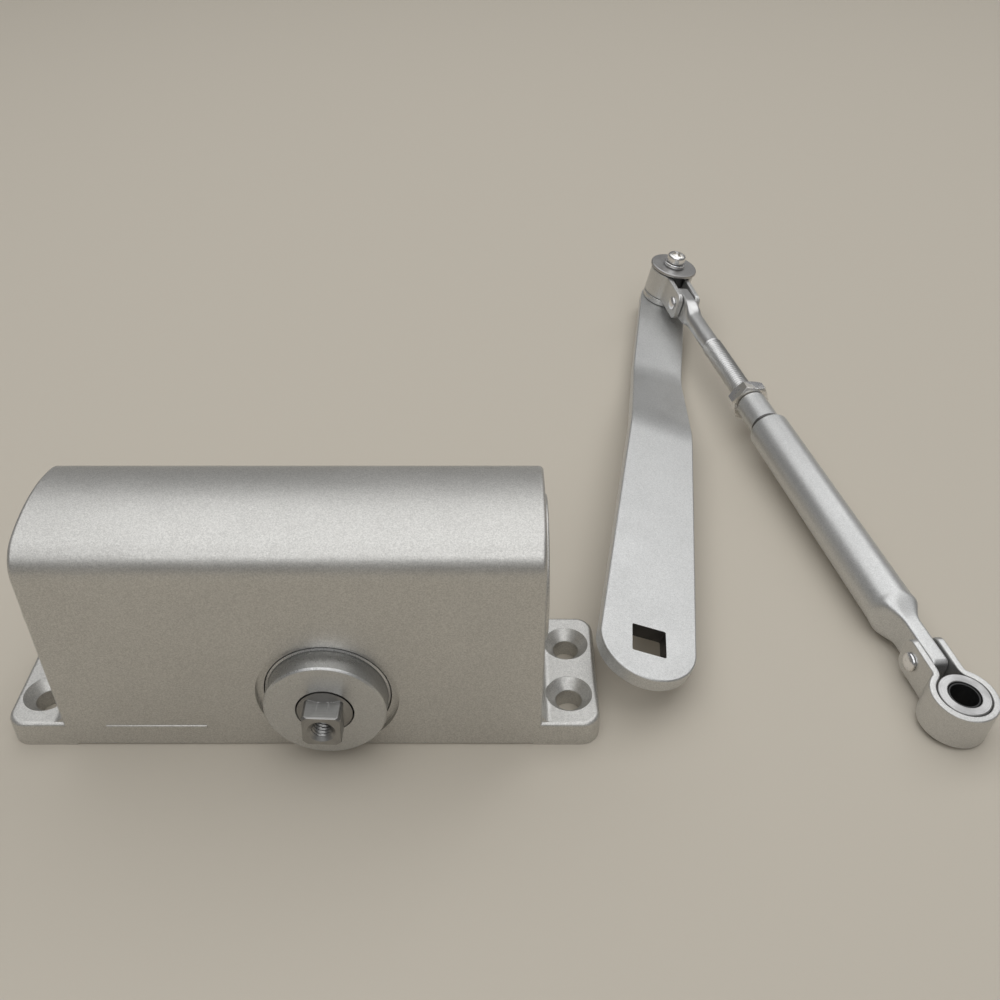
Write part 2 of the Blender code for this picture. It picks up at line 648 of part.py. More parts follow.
def make_check_valve(carriage, steel, brass):
    """The one-way valve in the piston's right head: a ball behind a drilled screw plug."""
    right = PISTON_RIGHT
    place = (0, 0, check_valve_drop())
    ball_middle = right - 3.4 * MM
    ball = arc((0, ball_middle), BALL_RADIUS, -pi / 2, pi / 2, 6)
    ball = [(0, ball_middle - BALL_RADIUS)] + ball[1:-1] + [(0, ball_middle + BALL_RADIUS)]
    piece("check_valve_ball", turned(ball, TINY_ROUND), carriage, place, FACING_RIGHT, steel)
    low = right - 1.2 * MM
    outer = BALL_RADIUS + MM
    plug = [(0.8 * MM, low), (outer, low), (outer, right - TURN_GAP), (0.8 * MM, right - TURN_GAP)]
    piece("check_valve_plug", turned(plug, TINY_ROUND), carriage, place, FACING_RIGHT, brass)


def spring_section(turn, radius, low, high, sides=5):
    """One section of the spring's wire, square to the helix, at a share of its length."""
    angle = turn * SPRING_TURNS * 2 * pi
    lead = (high - low) / SPRING_TURNS / (2 * pi)
    length = sqrt(radius**2 + lead**2)
    points = []
    for i in range(sides):
        a = 2 * pi * i / sides
        outward = SPRING_WIRE_RADIUS * cos(a)
        along = SPRING_WIRE_RADIUS * sin(a)
        tangent_share = -along * lead / length
        axial = along * radius / length
        x = (radius + outward) * cos(angle) - tangent_share * sin(angle)
        y = (radius + outward) * sin(angle) + tangent_share * cos(angle)
        points.append((x, y, low + (high - low) * turn + axial))
    return points


def make_spring(body, spring_steel, steel):
    """The closing spring between a seat on the left plug and the piston's pocket."""
    seat_face = -PLUG_FACE + REST_GAP + SEAT_THICKNESS
    pocket_floor = PISTON_LEFT + SPRING_POCKET_DEPTH
    radius = SPRING_POCKET_RADIUS - REST_GAP - SPRING_WIRE_RADIUS
    wire = SPRING_WIRE_RADIUS + REST_GAP
    count = int(SPRING_TURNS * 12)
    low, high = seat_face + wire, pocket_floor - wire
    sections = [spring_section(i / count, radius, low, high) for i in range(count + 1)]
    place = (0, 0, BORE_HEIGHT)
    piece("closing_spring", lofted(sections), body, place, FACING_RIGHT, spring_steel)
    inner = radius - SPRING_WIRE_RADIUS - REST_GAP
    base = seat_face - SEAT_THICKNESS
    rim = BORE_RADIUS - MM
    seat = [(4 * MM, base), (rim, base), (rim, seat_face), (inner, seat_face)]
    seat += [(inner - 0.5 * MM, seat_face + 3 * MM), (4 * MM, seat_face + 3 * MM)]
    piece("spring_seat", turned(seat, MIDDLE_ROUND), body, place, FACING_RIGHT, steel)


def make_speed_valves(body, brass, rubber):
    """Two slotted needle screws in the right end, each with a small O-ring."""
    for name, y, z in valve_places():
        place = (HALF_LENGTH - VALVE_SINK, y, z)
        turning = frame(f"{name}_valve_axis", body, place, FACING_RIGHT)
        groove = VALVE_RADIUS - 0.9 * MM
        profile = [(0, -VALVE_LENGTH), (0.7 * MM, -VALVE_LENGTH + 0.2 * MM)]
        profile += [(VALVE_RADIUS, -VALVE_LENGTH + 4 * MM), (VALVE_RADIUS, -4.4 * MM)]
        profile += [(groove, -4.4 * MM), (groove, -2.8 * MM), (VALVE_RADIUS, -2.8 * MM)]
        profile += [(VALVE_RADIUS, -0.3 * MM), (VALVE_RADIUS - 0.3 * MM, 0), (0, 0)]
        screw = piece(f"{name}_valve_screw", turned(profile, TINY_ROUND), turning, finish=brass)
        slot = rounded_box(VALVE_RADIUS + MM, 0.45 * MM, 0.05 * MM, 1)
        cut = tool(f"{name}_valve_slot", extruded(slot, -1.1 * MM, MM), turning)
        combine(screw, "DIFFERENCE", cut)
        thickness = (VALVE_RADIUS - groove) / 2
        ring = arc((groove + thickness + 0.1 * MM, -3.6 * MM), thickness, 0, 2 * pi * 5 / 6, 5)
        piece(f"{name}_valve_seal", turned(ring, TINY_ROUND), turning, finish=rubber)


def arm_outline():
    """Plan of the main arm: a large round head, a long taper and a narrower round tip."""
    taper = (ARM_HEAD_RADIUS - ARM_WAIST) / ARM_STEP_START
    narrow = ARM_STEP_END - 6 * MM
    head = arc((0, 0), ARM_HEAD_RADIUS, pi - taper, 2 * pi + taper, 24)
    tip = arc((0, ARM_LENGTH), ARM_TIP, 0, pi, 14)
    right = [(ARM_WAIST, ARM_STEP_START), (ARM_TIP, narrow)]
    left = [(-ARM_TIP, narrow), (-ARM_WAIST, ARM_STEP_START)]
    return head + right + tip + left


def arm_drop(y):
    """How far the arm has stepped down at a place along it, with a bend at each end."""
    bend = 5 * MM
    slope = ARM_STEP / (ARM_STEP_END - ARM_STEP_START)
    fall = 0.0
    for start, sign in ((ARM_STEP_START, 1), (ARM_STEP_END, -1)):
        t = min(max((y - start + bend) / (2 * bend), 0.0), 1.0)
        past = max(y - start - bend, 0.0)
        fall += sign * slope * (bend * t * t + past)
    return -fall


def arm_turn(y):
    """The angle that the arm has twisted by at a place along it, eased over the step."""
    share = (y - ARM_STEP_START) / (ARM_STEP_END - ARM_STEP_START)
    share = min(max(share, 0.0), 1.0)
    return ARM_TWIST * share * share * (3 - 2 * share)


def make_main_arm(arm, paint):
    bm = extruded(arm_outline(), -ARM_THICKNESS, 0)
    cuts = []
    for start in (ARM_STEP_START, ARM_STEP_END):
        cuts += [start + step * MM for step in (-5, -2, 2, 5)]
    cuts += [ARM_STEP_START + (ARM_STEP_END - ARM_STEP_START) * i / 6 for i in range(1, 6)]
    for cut in cuts:
        everything = bm.verts[:] + bm.edges[:] + bm.faces[:]
        bmesh.ops.bisect_plane(bm, geom=everything, plane_co=(0, cut, 0), plane_no=(0, 1, 0))
    for vertex in bm.verts:
        x, y, z = vertex.co
        turn = arm_turn(y)
        vertex.co.x = x * cos(turn) + z * sin(turn)
        vertex.co.z = z * cos(turn) - x * sin(turn) + arm_drop(y)
    made = piece("main_arm", bm, arm, finish=paint)
    bevel(made, ARM_EDGE, 2)
    half = (SQUARE_ACROSS + ARM_SQUARE_PLAY) / 2
    square = extruded(rounded_box(half, half, 0.5 * MM, 2), -ARM_THICKNESS - MM, MM)
    hole = tool("arm_square_hole", square, arm, rotation=(0, 0, ARM_SQUARE_TURN))
    shank = rod_along(3 * ARM_THICKNESS, STUD_SHANK_RADIUS + REST_GAP)
    place = (0, ARM_LENGTH, -ARM_STEP)
    stud_hole = tool("arm_stud_hole", shank, arm, place, (0, ARM_TWIST, 0))
    combine(made, "DIFFERENCE", hole, stud_hole)


def strap_line(reach):
    """Middle line of a bent strap: an ear, a neck, the loop, a neck and the other ear."""
    loop = STRAP_INNER + STRAP_THICKNESS / 2
    neck = STRAP_NECK_RADIUS
    neck_x = sqrt((loop + neck) ** 2 - (EAR_CENTRE + neck) ** 2)
    turn = atan2(EAR_CENTRE + neck, neck_x)
    end = reach + EAR_OVERHANG
    ear = [(end, EAR_CENTRE)]
    ear += [(end - STRAP_END_ROUNDING * (1 - cos(pi / 8 * i)), EAR_CENTRE) for i in range(1, 5)]
    ear += arc((neck_x, EAR_CENTRE + neck), neck, -pi / 2, turn - pi, 4)
    around = arc((0, 0), loop, turn, 2 * pi - turn, 28)
    return ear + around[1:-1] + [(x, -y) for x, y in reversed(ear)]


def strap_half_height(x, reach):
    """Half the strap's height, less where an ear's end is rounded."""
    end = reach + EAR_OVERHANG
    past = max(0.0, x - (end - STRAP_END_ROUNDING))
    drop = STRAP_END_ROUNDING - sqrt(max(0.0, STRAP_END_ROUNDING**2 - past**2))
    return STRAP_HEIGHT / 2 - drop


def make_strap(name, parent, place, turn, reach, finish):
    """A strip bent round a sleeve, with two ears that hold a riveted tongue."""
    line = strap_line(reach)
    sections = []
    for i, (x, y) in enumerate(line):
        before, after = line[max(i - 1, 0)], line[min(i + 1, len(line) - 1)]
        along = (after[0] - before[0], after[1] - before[1])
        length = sqrt(along[0] ** 2 + along[1] ** 2)
        across = (-along[1] / length, along[0] / length)
        half = STRAP_THICKNESS / 2
        tall = strap_half_height(x, reach)
        corners = ((half, -tall), (half, tall), (-half, tall), (-half, -tall))
        sections.append([(x + a * across[0], y + a * across[1], z) for a, z in corners])
    strap = piece(name, lofted(sections), parent, place, (0, 0, turn), finish)
    hole = rod_along(4 * EAR_CENTRE, RIVET_RADIUS + TURN_GAP, TINY_ROUND)
    cut = tool(f"{name}_rivet_hole", hole, strap, (reach, 0, 0), FACING_FRONT)
    combine(strap, "DIFFERENCE", cut)
    return strap


def make_rivet(name, parent, place, finish):
    """A round-headed rivet along local Y, through both ears."""
    face = EAR_CENTRE + STRAP_THICKNESS / 2 + TURN_GAP / 2
    dome = []
    for i in range(4):
        a = pi / 2 * i / 3
        dome.append((RIVET_HEAD_RADIUS * cos(a), face + RIVET_FLANGE + RIVET_HEAD_HEIGHT * sin(a)))
    half = [(RIVET_RADIUS, face), (RIVET_HEAD_RADIUS, face)] + dome[:-1] + [(0, dome[-1][1])]
    profile = [(r, -z) for r, z in reversed(half)] + half
    piece(name, turned(profile, TINY_ROUND), parent, place, FACING_FRONT, finish)


def make_elbow_pin(arm, steel, bright):
    """What stays on the arm at the elbow: stud, disc washer, spring washer and screw."""
    foot = frame("elbow_foot", arm, (0, ARM_LENGTH, -ARM_STEP), (0, ARM_TWIST, 0))
    edge = 0.4 * MM
    stud = [(0, REST_GAP - ARM_THICKNESS), (STUD_SHANK_RADIUS, REST_GAP - ARM_THICKNESS)]
    stud += [(STUD_SHANK_RADIUS, COLLAR_BASE), (COLLAR_RADIUS, COLLAR_BASE)]
    stud += [(COLLAR_RADIUS, COLLAR_TOP - edge), (COLLAR_RADIUS - edge, COLLAR_TOP)]
    stud += [(STUD_RADIUS, COLLAR_TOP)]
    stud += [(STUD_RADIUS, STUD_TOP), (STUD_THREAD_RADIUS, STUD_TOP)]
    stud += [(STUD_THREAD_RADIUS, MM), (0, MM)]
    piece("elbow_stud", turned(stud, MIDDLE_ROUND), foot, finish=steel)
    top = WASHER_BASE + WASHER_THICKNESS
    hole = SCREW_SHANK_RADIUS + REST_GAP
    disc = [(hole, WASHER_BASE), (WASHER_RADIUS - edge, WASHER_BASE)]
    disc += [(WASHER_RADIUS, WASHER_BASE + edge), (WASHER_RADIUS, top - edge)]
    disc += [(WASHER_RADIUS - edge, top), (hole, top)]
    piece("elbow_washer", turned(disc, ROUND), foot, finish=steel)
    ring = []
    for i in range(17):
        a = radians(8 + 344 * i / 16)
        low = SPRING_WASHER_BASE
        high = low + SPRING_WASHER_THICKNESS
        outer = SPRING_WASHER_RADIUS
        inner = hole + 0.3 * MM
        corners = ((inner, low), (outer, low), (outer, high), (inner, high))
        ring.append([(r * cos(a), r * sin(a), z) for r, z in corners])
    piece("elbow_spring_washer", lofted(ring), foot, rotation=(0, 0, radians(40)), finish=bright)
    make_elbow_screw(foot, bright)


def make_elbow_screw(foot, bright):
    """A pan-head screw with a cross recess, down into the stud."""
    base = SCREW_HEAD_BASE
    head = SCREW_HEAD_RADIUS
    rise = SCREW_HEAD_HEIGHT
    dome = [(head, base + 0.2 * MM), (head, base + 0.5 * rise)]
    dome += [(0.93 * head, base + 0.78 * rise), (0.72 * head, base + 0.95 * rise)]
    shank = SCREW_SHANK_RADIUS
    tip = 4 * MM
    profile = [(0, tip), (shank, tip), (shank, base), (head - 0.2 * MM, base)]
    profile += dome + [(0, base + rise)]
    screw = piece("elbow_screw", turned(profile, SMALL_ROUND), foot, finish=bright)
    for name, turn in (("a", 20), ("b", 110)):
        slot = rounded_box(2.0 * MM, 0.5 * MM, 0.2 * MM, 2)
        cross = extruded(slot, base + rise - 1.6 * MM, base + rise + MM)
        cut = tool(f"screw_recess_{name}", cross, foot, rotation=(0, 0, radians(turn)))
        combine(screw, "DIFFERENCE", cut)


def make_elbow(elbow, steel, bright, paint):
    """What swings round the stud: sleeve, strap and the rivet across its ears."""
    bore = STUD_RADIUS + TURN_GAP
    low, high = STRAP_BASE, STUD_TOP - TURN_GAP / 2
    sleeve = [(bore, low), (SLEEVE_RADIUS, low), (SLEEVE_RADIUS, high), (bore, high)]
    piece("elbow_sleeve", turned(sleeve, ROUND), elbow, finish=steel)
    middle = (0, 0, STRAP_MIDDLE)
    make_strap("elbow_strap", elbow, middle, 0, ELBOW_REACH, paint)
    make_rivet("elbow_rivet", elbow, (ELBOW_REACH, 0, STRAP_MIDDLE), bright)


def tongue_end(middle, sign, thickness, height, power):
    """Sections of a tongue's squared end with round corners, from the tip inwards."""
    corner = TONGUE_CORNER
    sections = []
    for i in range(5):
        a = pi / 2 * i / 4
        x = middle + sign * (TONGUE_END - corner + corner * cos(a))
        tall = height / 2 - corner + corner * sin(a)
        sections.append(oval_section(x, thickness / 2, tall, power))
    return sections


def make_rod(rod, steel):
    """The adjusting rod: a flat eye on the rivet, a plain shank and a long thread."""
    thickness, height = TONGUE_THICKNESS, TONGUE_HEIGHT
    sections = tongue_end(0, -1, thickness, height, 5)
    sections.append(oval_section(7.5 * MM, thickness / 2, height / 2, 5))
    sections.append(oval_section(10 * MM, 3.1 * MM, 4.2 * MM, 3))
    sections.append(oval_section(13 * MM, ROD_RADIUS, ROD_RADIUS, 2))
    sections.append(oval_section(THREAD_START - 0.4 * MM, ROD_RADIUS, ROD_RADIUS, 2))
    sections.append(oval_section(THREAD_START, THREAD_RADIUS, THREAD_RADIUS, 2))
    sections.append(oval_section(ROD_LENGTH - MM, THREAD_RADIUS, THREAD_RADIUS, 2))
    sections.append(oval_section(ROD_LENGTH, THREAD_RADIUS - MM, THREAD_RADIUS - MM, 2))
    made = piece("adjusting_rod", lofted(sections), rod, finish=steel)
    hole = rod_along(4 * EAR_CENTRE, RIVET_RADIUS + TURN_GAP, TINY_ROUND)
    cut = tool("rod_rivet_hole", hole, rod, rotation=FACING_FRONT)
    combine(made, "DIFFERENCE", cut)


def make_lock_nut(rod, bright):
    """A hexagon nut with chamfered corners, tight against the tube's neck."""
    place = (NECK_START - REST_GAP - NUT_THICKNESS, 0, 0)
    nut_frame = frame("lock_nut_axis", rod, place, FACING_RIGHT)
    corner = NUT_ACROSS / sqrt(3)
    angles = [NUT_TURN + pi / 3 * i for i in range(6)]
    hexagon = [(corner * cos(a), corner * sin(a)) for a in angles]
    nut = piece("lock_nut", extruded(hexagon, 0, NUT_THICKNESS), nut_frame, finish=bright)
    inner = NUT_ACROSS / 2 - 0.2 * MM
    outer = corner + 0.5 * MM
    rise = (outer - inner) * tan(radians(30))
    limit = [(0, 0), (inner, 0), (outer, rise), (outer, NUT_THICKNESS - rise)]
    limit += [(inner, NUT_THICKNESS), (0, NUT_THICKNESS)]
    cone = tool("nut_chamfer", turned(limit, MIDDLE_ROUND), nut_frame)
    combine(nut, "INTERSECT", cone)
    bore = rod_along(4 * NUT_THICKNESS, THREAD_RADIUS + TURN_GAP)
    hole = tool("nut_bore", bore, nut_frame)
    combine(nut, "DIFFERENCE", hole)


def make_tube(tube, paint):
    """The forearm tube: a threaded neck, the plain tube and a pressed tongue."""
    shoulder = NECK_START + NECK_LENGTH + GROOVE_WIDTH
    flat = FOREARM_LENGTH - TONGUE_LENGTH
    groove = NECK_RADIUS - GROOVE_DEPTH
    chamfer = 0.6 * MM
    round_steps = ((NECK_START, NECK_RADIUS - 0.4 * MM), (NECK_START + 0.4 * MM, NECK_RADIUS))
    round_steps += ((NECK_START + NECK_LENGTH, NECK_RADIUS),)
    round_steps += ((NECK_START + NECK_LENGTH + 0.01 * MM, groove),)
    round_steps += ((shoulder - 0.01 * MM, groove), (shoulder, TUBE_RADIUS - chamfer))
    round_steps += ((shoulder + chamfer, TUBE_RADIUS),)
    sections = [oval_section(x, r, r, 2) for x, r in round_steps]
    for i in range(7):
        share = i / 6
        ease = share * share * (3 - 2 * share)
        x = flat - TONGUE_TRANSITION * (1 - share)
        half_y = TUBE_RADIUS + (TONGUE_THICKNESS / 2 - TUBE_RADIUS) * ease
        half_z = TUBE_RADIUS + (TONGUE_HEIGHT / 2 - TUBE_RADIUS) * ease
        sections.append(oval_section(x, half_y, half_z, 2 + 3 * ease))
    end = tongue_end(FOREARM_LENGTH, 1, TONGUE_THICKNESS, TONGUE_HEIGHT, 5)
    sections += end[::-1]
    made = piece("forearm_tube", lofted(sections), tube, finish=paint)
    depth = ROD_LENGTH + 12 * MM
    mouth = NECK_START - MM
    bore = [(0, mouth), (TUBE_BORE_RADIUS, mouth), (TUBE_BORE_RADIUS, depth), (0, depth + 2 * MM)]
    cut = tool("tube_bore", turned(bore, SMALL_ROUND), tube, rotation=FACING_RIGHT)
    hole = rod_along(4 * EAR_CENTRE, RIVET_RADIUS + TURN_GAP, TINY_ROUND)
    rivet_hole = tool("tube_rivet_hole", hole, tube, (FOREARM_LENGTH, 0, 0), FACING_FRONT)
    combine(made, "DIFFERENCE", cut, rivet_hole)


def make_shoe(shoe, ring, paint, steel, bright, black):
    """The loop that takes the shoe's stud: strap, rivet, sleeve and liner."""
    make_strap("shoe_strap", shoe, (SHOE_REACH, 0, 0), pi, SHOE_REACH, paint)
    make_rivet("shoe_rivet", shoe, (0, 0, 0), bright)
    half = STRAP_HEIGHT / 2
    liner = LINER_BORE_RADIUS + LINER_WALL
    inner = liner + TURN_GAP
    edge = 0.3 * MM
    sleeve = [(inner, -half), (SLEEVE_RADIUS - edge, -half), (SLEEVE_RADIUS, edge - half)]
    sleeve += [(SLEEVE_RADIUS, half - edge), (SLEEVE_RADIUS - edge, half), (inner, half)]
    piece("shoe_sleeve", turned(sleeve, ROUND), ring, finish=steel)
    low, high = 0.2 * MM - half, half - 0.2 * MM
    tube = [(LINER_BORE_RADIUS, low), (liner, low), (liner, high), (LINER_BORE_RADIUS, high)]
    piece("shoe_liner", turned(tube, MIDDLE_ROUND), ring, finish=black)


def build():
    clear_scene()
    paint = material("silver_paint", (0.60, 0.60, 0.59), 0.38, 0.75)
    cast_paint = material("body_paint", (0.58, 0.58, 0.57), 0.42, 0.7)
    steel = material("machined_steel", (0.46, 0.46, 0.46), 0.35, 1.0)
    bright = material("bright_zinc", (0.80, 0.80, 0.80), 0.22, 1.0)
    spring_steel = material("spring_steel", (0.20, 0.20, 0.22), 0.45, 1.0)
    brass = material("brass", (0.75, 0.56, 0.25), 0.3, 1.0)
    rubber = material("seal_rubber", (0.03, 0.03, 0.03), 0.7, 0.0)
    black = material("liner_black", (0.02, 0.02, 0.02), 0.5, 0.0)

    body = frame("closer_body")
    make_housing(body, cast_paint)
    make_end_plugs(body, paint, rubber)
    make_bearing_caps(body, paint, steel, rubber)
    make_spring(body, spring_steel, steel)
    make_speed_valves(body, brass, rubber)

    pinion = frame("pinion_axis", body, (SPINDLE_X, 0, SPINDLE_HEIGHT), FACING_FRONT)
    make_spindle(pinion, steel)
    carriage = frame("piston_axis", body, (0, 0, BORE_HEIGHT))
    make_piston(carriage, steel)
    make_check_valve(carriage, bright, brass)

    arm = frame("arm_frame", None, ARM_CENTRE, ARM_LEAN)
    make_main_arm(arm, paint)
    make_elbow_pin(arm, steel, bright)
    turn = (0, 0, ELBOW_SWING - pi / 2)
    foot = frame("elbow_seat", arm, (0, ARM_LENGTH, -ARM_STEP), (0, ARM_TWIST, 0))
    elbow = frame("elbow_axis", foot, rotation=turn)
    make_elbow(elbow, steel, bright, paint)
    rod = frame("rod_pivot", elbow, (ELBOW_REACH, 0, STRAP_MIDDLE), (0, -ELBOW_TILT, 0))
    make_rod(rod, steel)
    make_lock_nut(rod, bright)
    tube = frame("tube_axis", rod, rotation=(FOREARM_TWIST, 0, 0))
    make_tube(tube, paint)
    shoe = frame("shoe_pivot", tube, (FOREARM_LENGTH, 0, 0), (0, SHOE_TILT, 0))
    ring = frame("ring_axis", shoe, (SHOE_REACH, 0, 0))
    make_shoe(shoe, ring, paint, steel, bright, black)


build()
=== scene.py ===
"""Looks of a surface mounted door closer with its loose two piece arm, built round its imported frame.

Every new piece is a surface computed with numpy in metres at its own place: a grid of two
parameters, or a profile carried along a path or round an axis. Housing, arm, straps and tongues
are then drilled with Boolean cutters, which are surfaces of the same kind.
"""

from math import pi, radians

import bmesh
import bpy
import numpy as np
from mathutils import Euler, Matrix


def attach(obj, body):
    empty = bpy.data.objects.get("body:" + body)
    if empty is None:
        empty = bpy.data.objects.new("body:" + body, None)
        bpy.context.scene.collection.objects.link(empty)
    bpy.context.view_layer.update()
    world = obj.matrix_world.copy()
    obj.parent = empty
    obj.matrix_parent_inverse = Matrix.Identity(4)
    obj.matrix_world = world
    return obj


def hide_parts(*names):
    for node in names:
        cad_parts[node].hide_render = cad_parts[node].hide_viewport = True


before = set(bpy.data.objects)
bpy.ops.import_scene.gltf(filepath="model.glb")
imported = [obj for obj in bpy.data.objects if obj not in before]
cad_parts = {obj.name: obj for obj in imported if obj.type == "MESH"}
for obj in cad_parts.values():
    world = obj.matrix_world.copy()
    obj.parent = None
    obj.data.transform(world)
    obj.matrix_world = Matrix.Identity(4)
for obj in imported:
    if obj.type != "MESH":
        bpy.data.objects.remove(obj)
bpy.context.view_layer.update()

MM = 0.001
GAP = 0.3 * MM

# Housing
HALF_LENGTH = 63.4 * MM
HALF_WIDTH = 20.5 * MM
SHOULDER = 58.0 * MM
CORNER = 9.0 * MM
CROWN = 50.0 * MM
LUG_REACH = 15.6 * MM
LUG_HEIGHT = 7.9 * MM
LUG_CORNER = 5.0 * MM
LUG_FILLET = 2.6 * MM
SCREW_X = 71.0 * MM
SCREW_Y = 9.5 * MM
SCREW_RADIUS = 3.6 * MM
SINK_RADIUS = 6.3 * MM
BORE_HEIGHT = 45.3 * MM
BORE_RADIUS = 17.5 * MM
PLUG_RIM = 18.9 * MM
PLUG_PROUD = 0.8 * MM
VALVE_Y = 12.5 * MM
VALVE_HEIGHT = 15.0 * MM
VALVE_RADIUS = 2.9 * MM

# Spindle and caps
SPINDLE = (7.7 * MM, 0.0, 18.8 * MM)
CAP_RADIUS = 16.2 * MM
CAP_FACE_RADIUS = 15.7 * MM
CAP_FACE = 25.7 * MM
CAP_INNER = 15.21 * MM
RECESS_RADIUS = 18.5 * MM
RECESS_FLOOR = 19.1 * MM
JOURNAL = 7.1 * MM
BUSH_RADIUS = 9.9 * MM
SPINDLE_SHOULDER = 25.8 * MM
SPINDLE_END = 32.2 * MM
SHOULDER_CONE = 1.2 * MM
SQUARE_HALF = 4.9 * MM
SQUARE_CORNER = 0.7 * MM
TAPPED_RADIUS = 2.6 * MM

# Arm set
ARM_CENTRE = (93.7 * MM, 3.4 * MM, 15.15 * MM)
ARM_LEAN = (radians(0.76), radians(16.72), radians(-8.66))
ARM_LENGTH = 226.1 * MM
ARM_THICKNESS = 4.6 * MM
ARM_TWIST = radians(-5.0)
ARM_HEAD = 14.2 * MM
ARM_WAIST = 11.6 * MM
ARM_TIP = 10.0 * MM
STEP_START = 108.3 * MM
STEP_END = 158.0 * MM
STEP_DEPTH = 10.15 * MM
ARM_SQUARE = 10.0 * MM
STUD_RADIUS = 4.9 * MM
STUD_SHANK = 4.4 * MM
COLLAR_RADIUS = 9.4 * MM
COLLAR_TOP = 2.75 * MM
SLEEVE_RADIUS = 7.2 * MM
STRAP_THICKNESS = 2.0 * MM
STRAP_HEIGHT = 11.2 * MM
STRAP_BASE = COLLAR_TOP + GAP
STRAP_MIDDLE = STRAP_BASE + STRAP_HEIGHT / 2
STUD_TOP = STRAP_BASE + STRAP_HEIGHT + 0.4 * MM
ELBOW_REACH = 20.0 * MM
SHOE_REACH = 17.2 * MM
EAR_OVERHANG = 4.9 * MM
TONGUE_THICKNESS = 5.2 * MM
TONGUE_HEIGHT = 10.2 * MM
TONGUE_END = 5.6 * MM
TONGUE_CORNER = 1.6 * MM
EAR_CENTRE = TONGUE_THICKNESS / 2 + GAP + STRAP_THICKNESS / 2
RIVET_RADIUS = 1.9 * MM
FOREARM = 208.3 * MM
ROD_RADIUS = 3.65 * MM
THREAD_RADIUS = 4.0 * MM
THREAD_START = 35.5 * MM
THREAD_PITCH = 1.25 * MM
ROD_LENGTH = 142.0 * MM
NECK_START = 78.0 * MM
NECK_LENGTH = 15.2 * MM
NECK_RADIUS = 5.6 * MM
TUBE_RADIUS = 7.3 * MM
GROOVE_SHADE = 0.9 * MM
NUT_HALF = 6.7 * MM
NUT_THICKNESS = 5.2 * MM
NUT_TURN = radians(30.0)
GROOVE_WIDTH = 1.8 * MM
GROOVE_DEPTH = 0.8 * MM
SCREW_HEAD_RADIUS = 4.0 * MM
RIVET_HEAD_RADIUS = 2.8 * MM
RIVET_HEAD_RISE = 1.1 * MM
RIVET_FLANGE = 0.3 * MM
LINER_BORE = 3.8 * MM
LINER_OUTER = 4.3 * MM
SLEEVE_BORE = 4.5 * MM

# Camera
CAMERA_PLACE = (0.0522, -0.20595, 0.2239)
CAMERA_PITCH = radians(90 - 37.324)
CAMERA_LENS = 37.97
CAMERA_SENSOR = 36.0

FRONT = (radians(90), 0, 0)  # local Z to -Y
BACK = (radians(-90), 0, 0)
RIGHT = (0, radians(90), 0)
LEFT = (0, radians(-90), 0)


# ---------------------------------------------------------------- surfaces


def placed(parent, location=(0, 0, 0), turn=(0, 0, 0)):
    """The matrix of a frame inside its parent's frame, from a place and three turns."""
    local = Matrix.Translation(location) @ Euler(turn).to_matrix().to_4x4()
    return parent @ np.array(local)


def arc(centre, radius, start, end, count=8):
    """Points (count + 1, 2) on a circle: centre plus radius times (cosine, sine)."""
    angle = np.linspace(start, end, count + 1)
    return np.column_stack((centre[0] + radius * np.cos(angle), centre[1] + radius * np.sin(angle)))


def rounded(corners, radii, steps=5, closed=True):
    """A polygon whose corners become arcs, each tangent to both sides at radius / tan(half angle)."""
    corners = np.array(corners, float)
    count = len(corners)
    parts = []
    for i in range(count):
        here = corners[i]
        end_point = not closed and i in (0, count - 1)
        if radii[i] <= 0 or end_point:
            parts.append(here[None])
            continue
        before = corners[i - 1] - here
        after = corners[(i + 1) % count] - here
        before /= np.linalg.norm(before)
        after /= np.linalg.norm(after)
        half = np.arccos(np.clip(before @ after, -1, 1)) / 2
        bisector = (before + after) / np.linalg.norm(before + after)
        centre = here + bisector * radii[i] / np.sin(half)
        start = here + before * radii[i] / np.tan(half) - centre
        end = here + after * radii[i] / np.tan(half) - centre
        first = np.arctan2(start[1], start[0])
        sweep = np.arctan2(end[1], end[0]) - first
        sweep = (sweep + pi) % (2 * pi) - pi
        parts.append(arc(centre, radii[i], first, first + sweep, steps))
    return np.concatenate(parts)


def grid_faces(rows, columns, wrap_rows=False):
    """Quads of a grid whose columns close round, and whose rows may."""
    last = rows if wrap_rows else rows - 1
    row = np.arange(last)[:, None] * columns
    following = (np.arange(last)[:, None] + 1) % rows * columns
    column = np.arange(columns)[None]
    beside = (column + 1) % columns
    quads = np.stack((row + column, row + beside, following + beside, following + column), -1)
    return quads.reshape(-1, 4)


def shell(grid, wrap_rows=False, capped=False):
    """Points, faces and each point's length along its column, for a grid (rows, columns, 3)."""
    rows, columns = grid.shape[:2]
    steps = np.linalg.norm(np.diff(grid, axis=0), axis=2).mean(axis=1)
    along = np.concatenate(([0.0], np.cumsum(steps)))
    faces = grid_faces(rows, columns, wrap_rows).tolist()
    if capped:
        faces.append(list(range(columns))[::-1])
        faces.append(list(range((rows - 1) * columns, rows * columns)))
    return grid.reshape(-1, 3), faces, np.repeat(along, columns)


def circle(segments):
    angle = np.arange(segments) * 2 * pi / segments
    return angle


def turned(profile, segments=96):
    """A profile of (radius, height) turned round local Z; a profile off the axis closes on itself."""
    profile = np.array(profile, float)
    angle = circle(segments)
    radius = profile[:, :1]
    height = np.broadcast_to(profile[:, 1:], (len(profile), segments))
    grid = np.stack((radius * np.cos(angle), radius * np.sin(angle), height), -1)
    on_axis = profile[0, 0] < 1e-9 and profile[-1, 0] < 1e-9
    return shell(grid, wrap_rows=not on_axis)


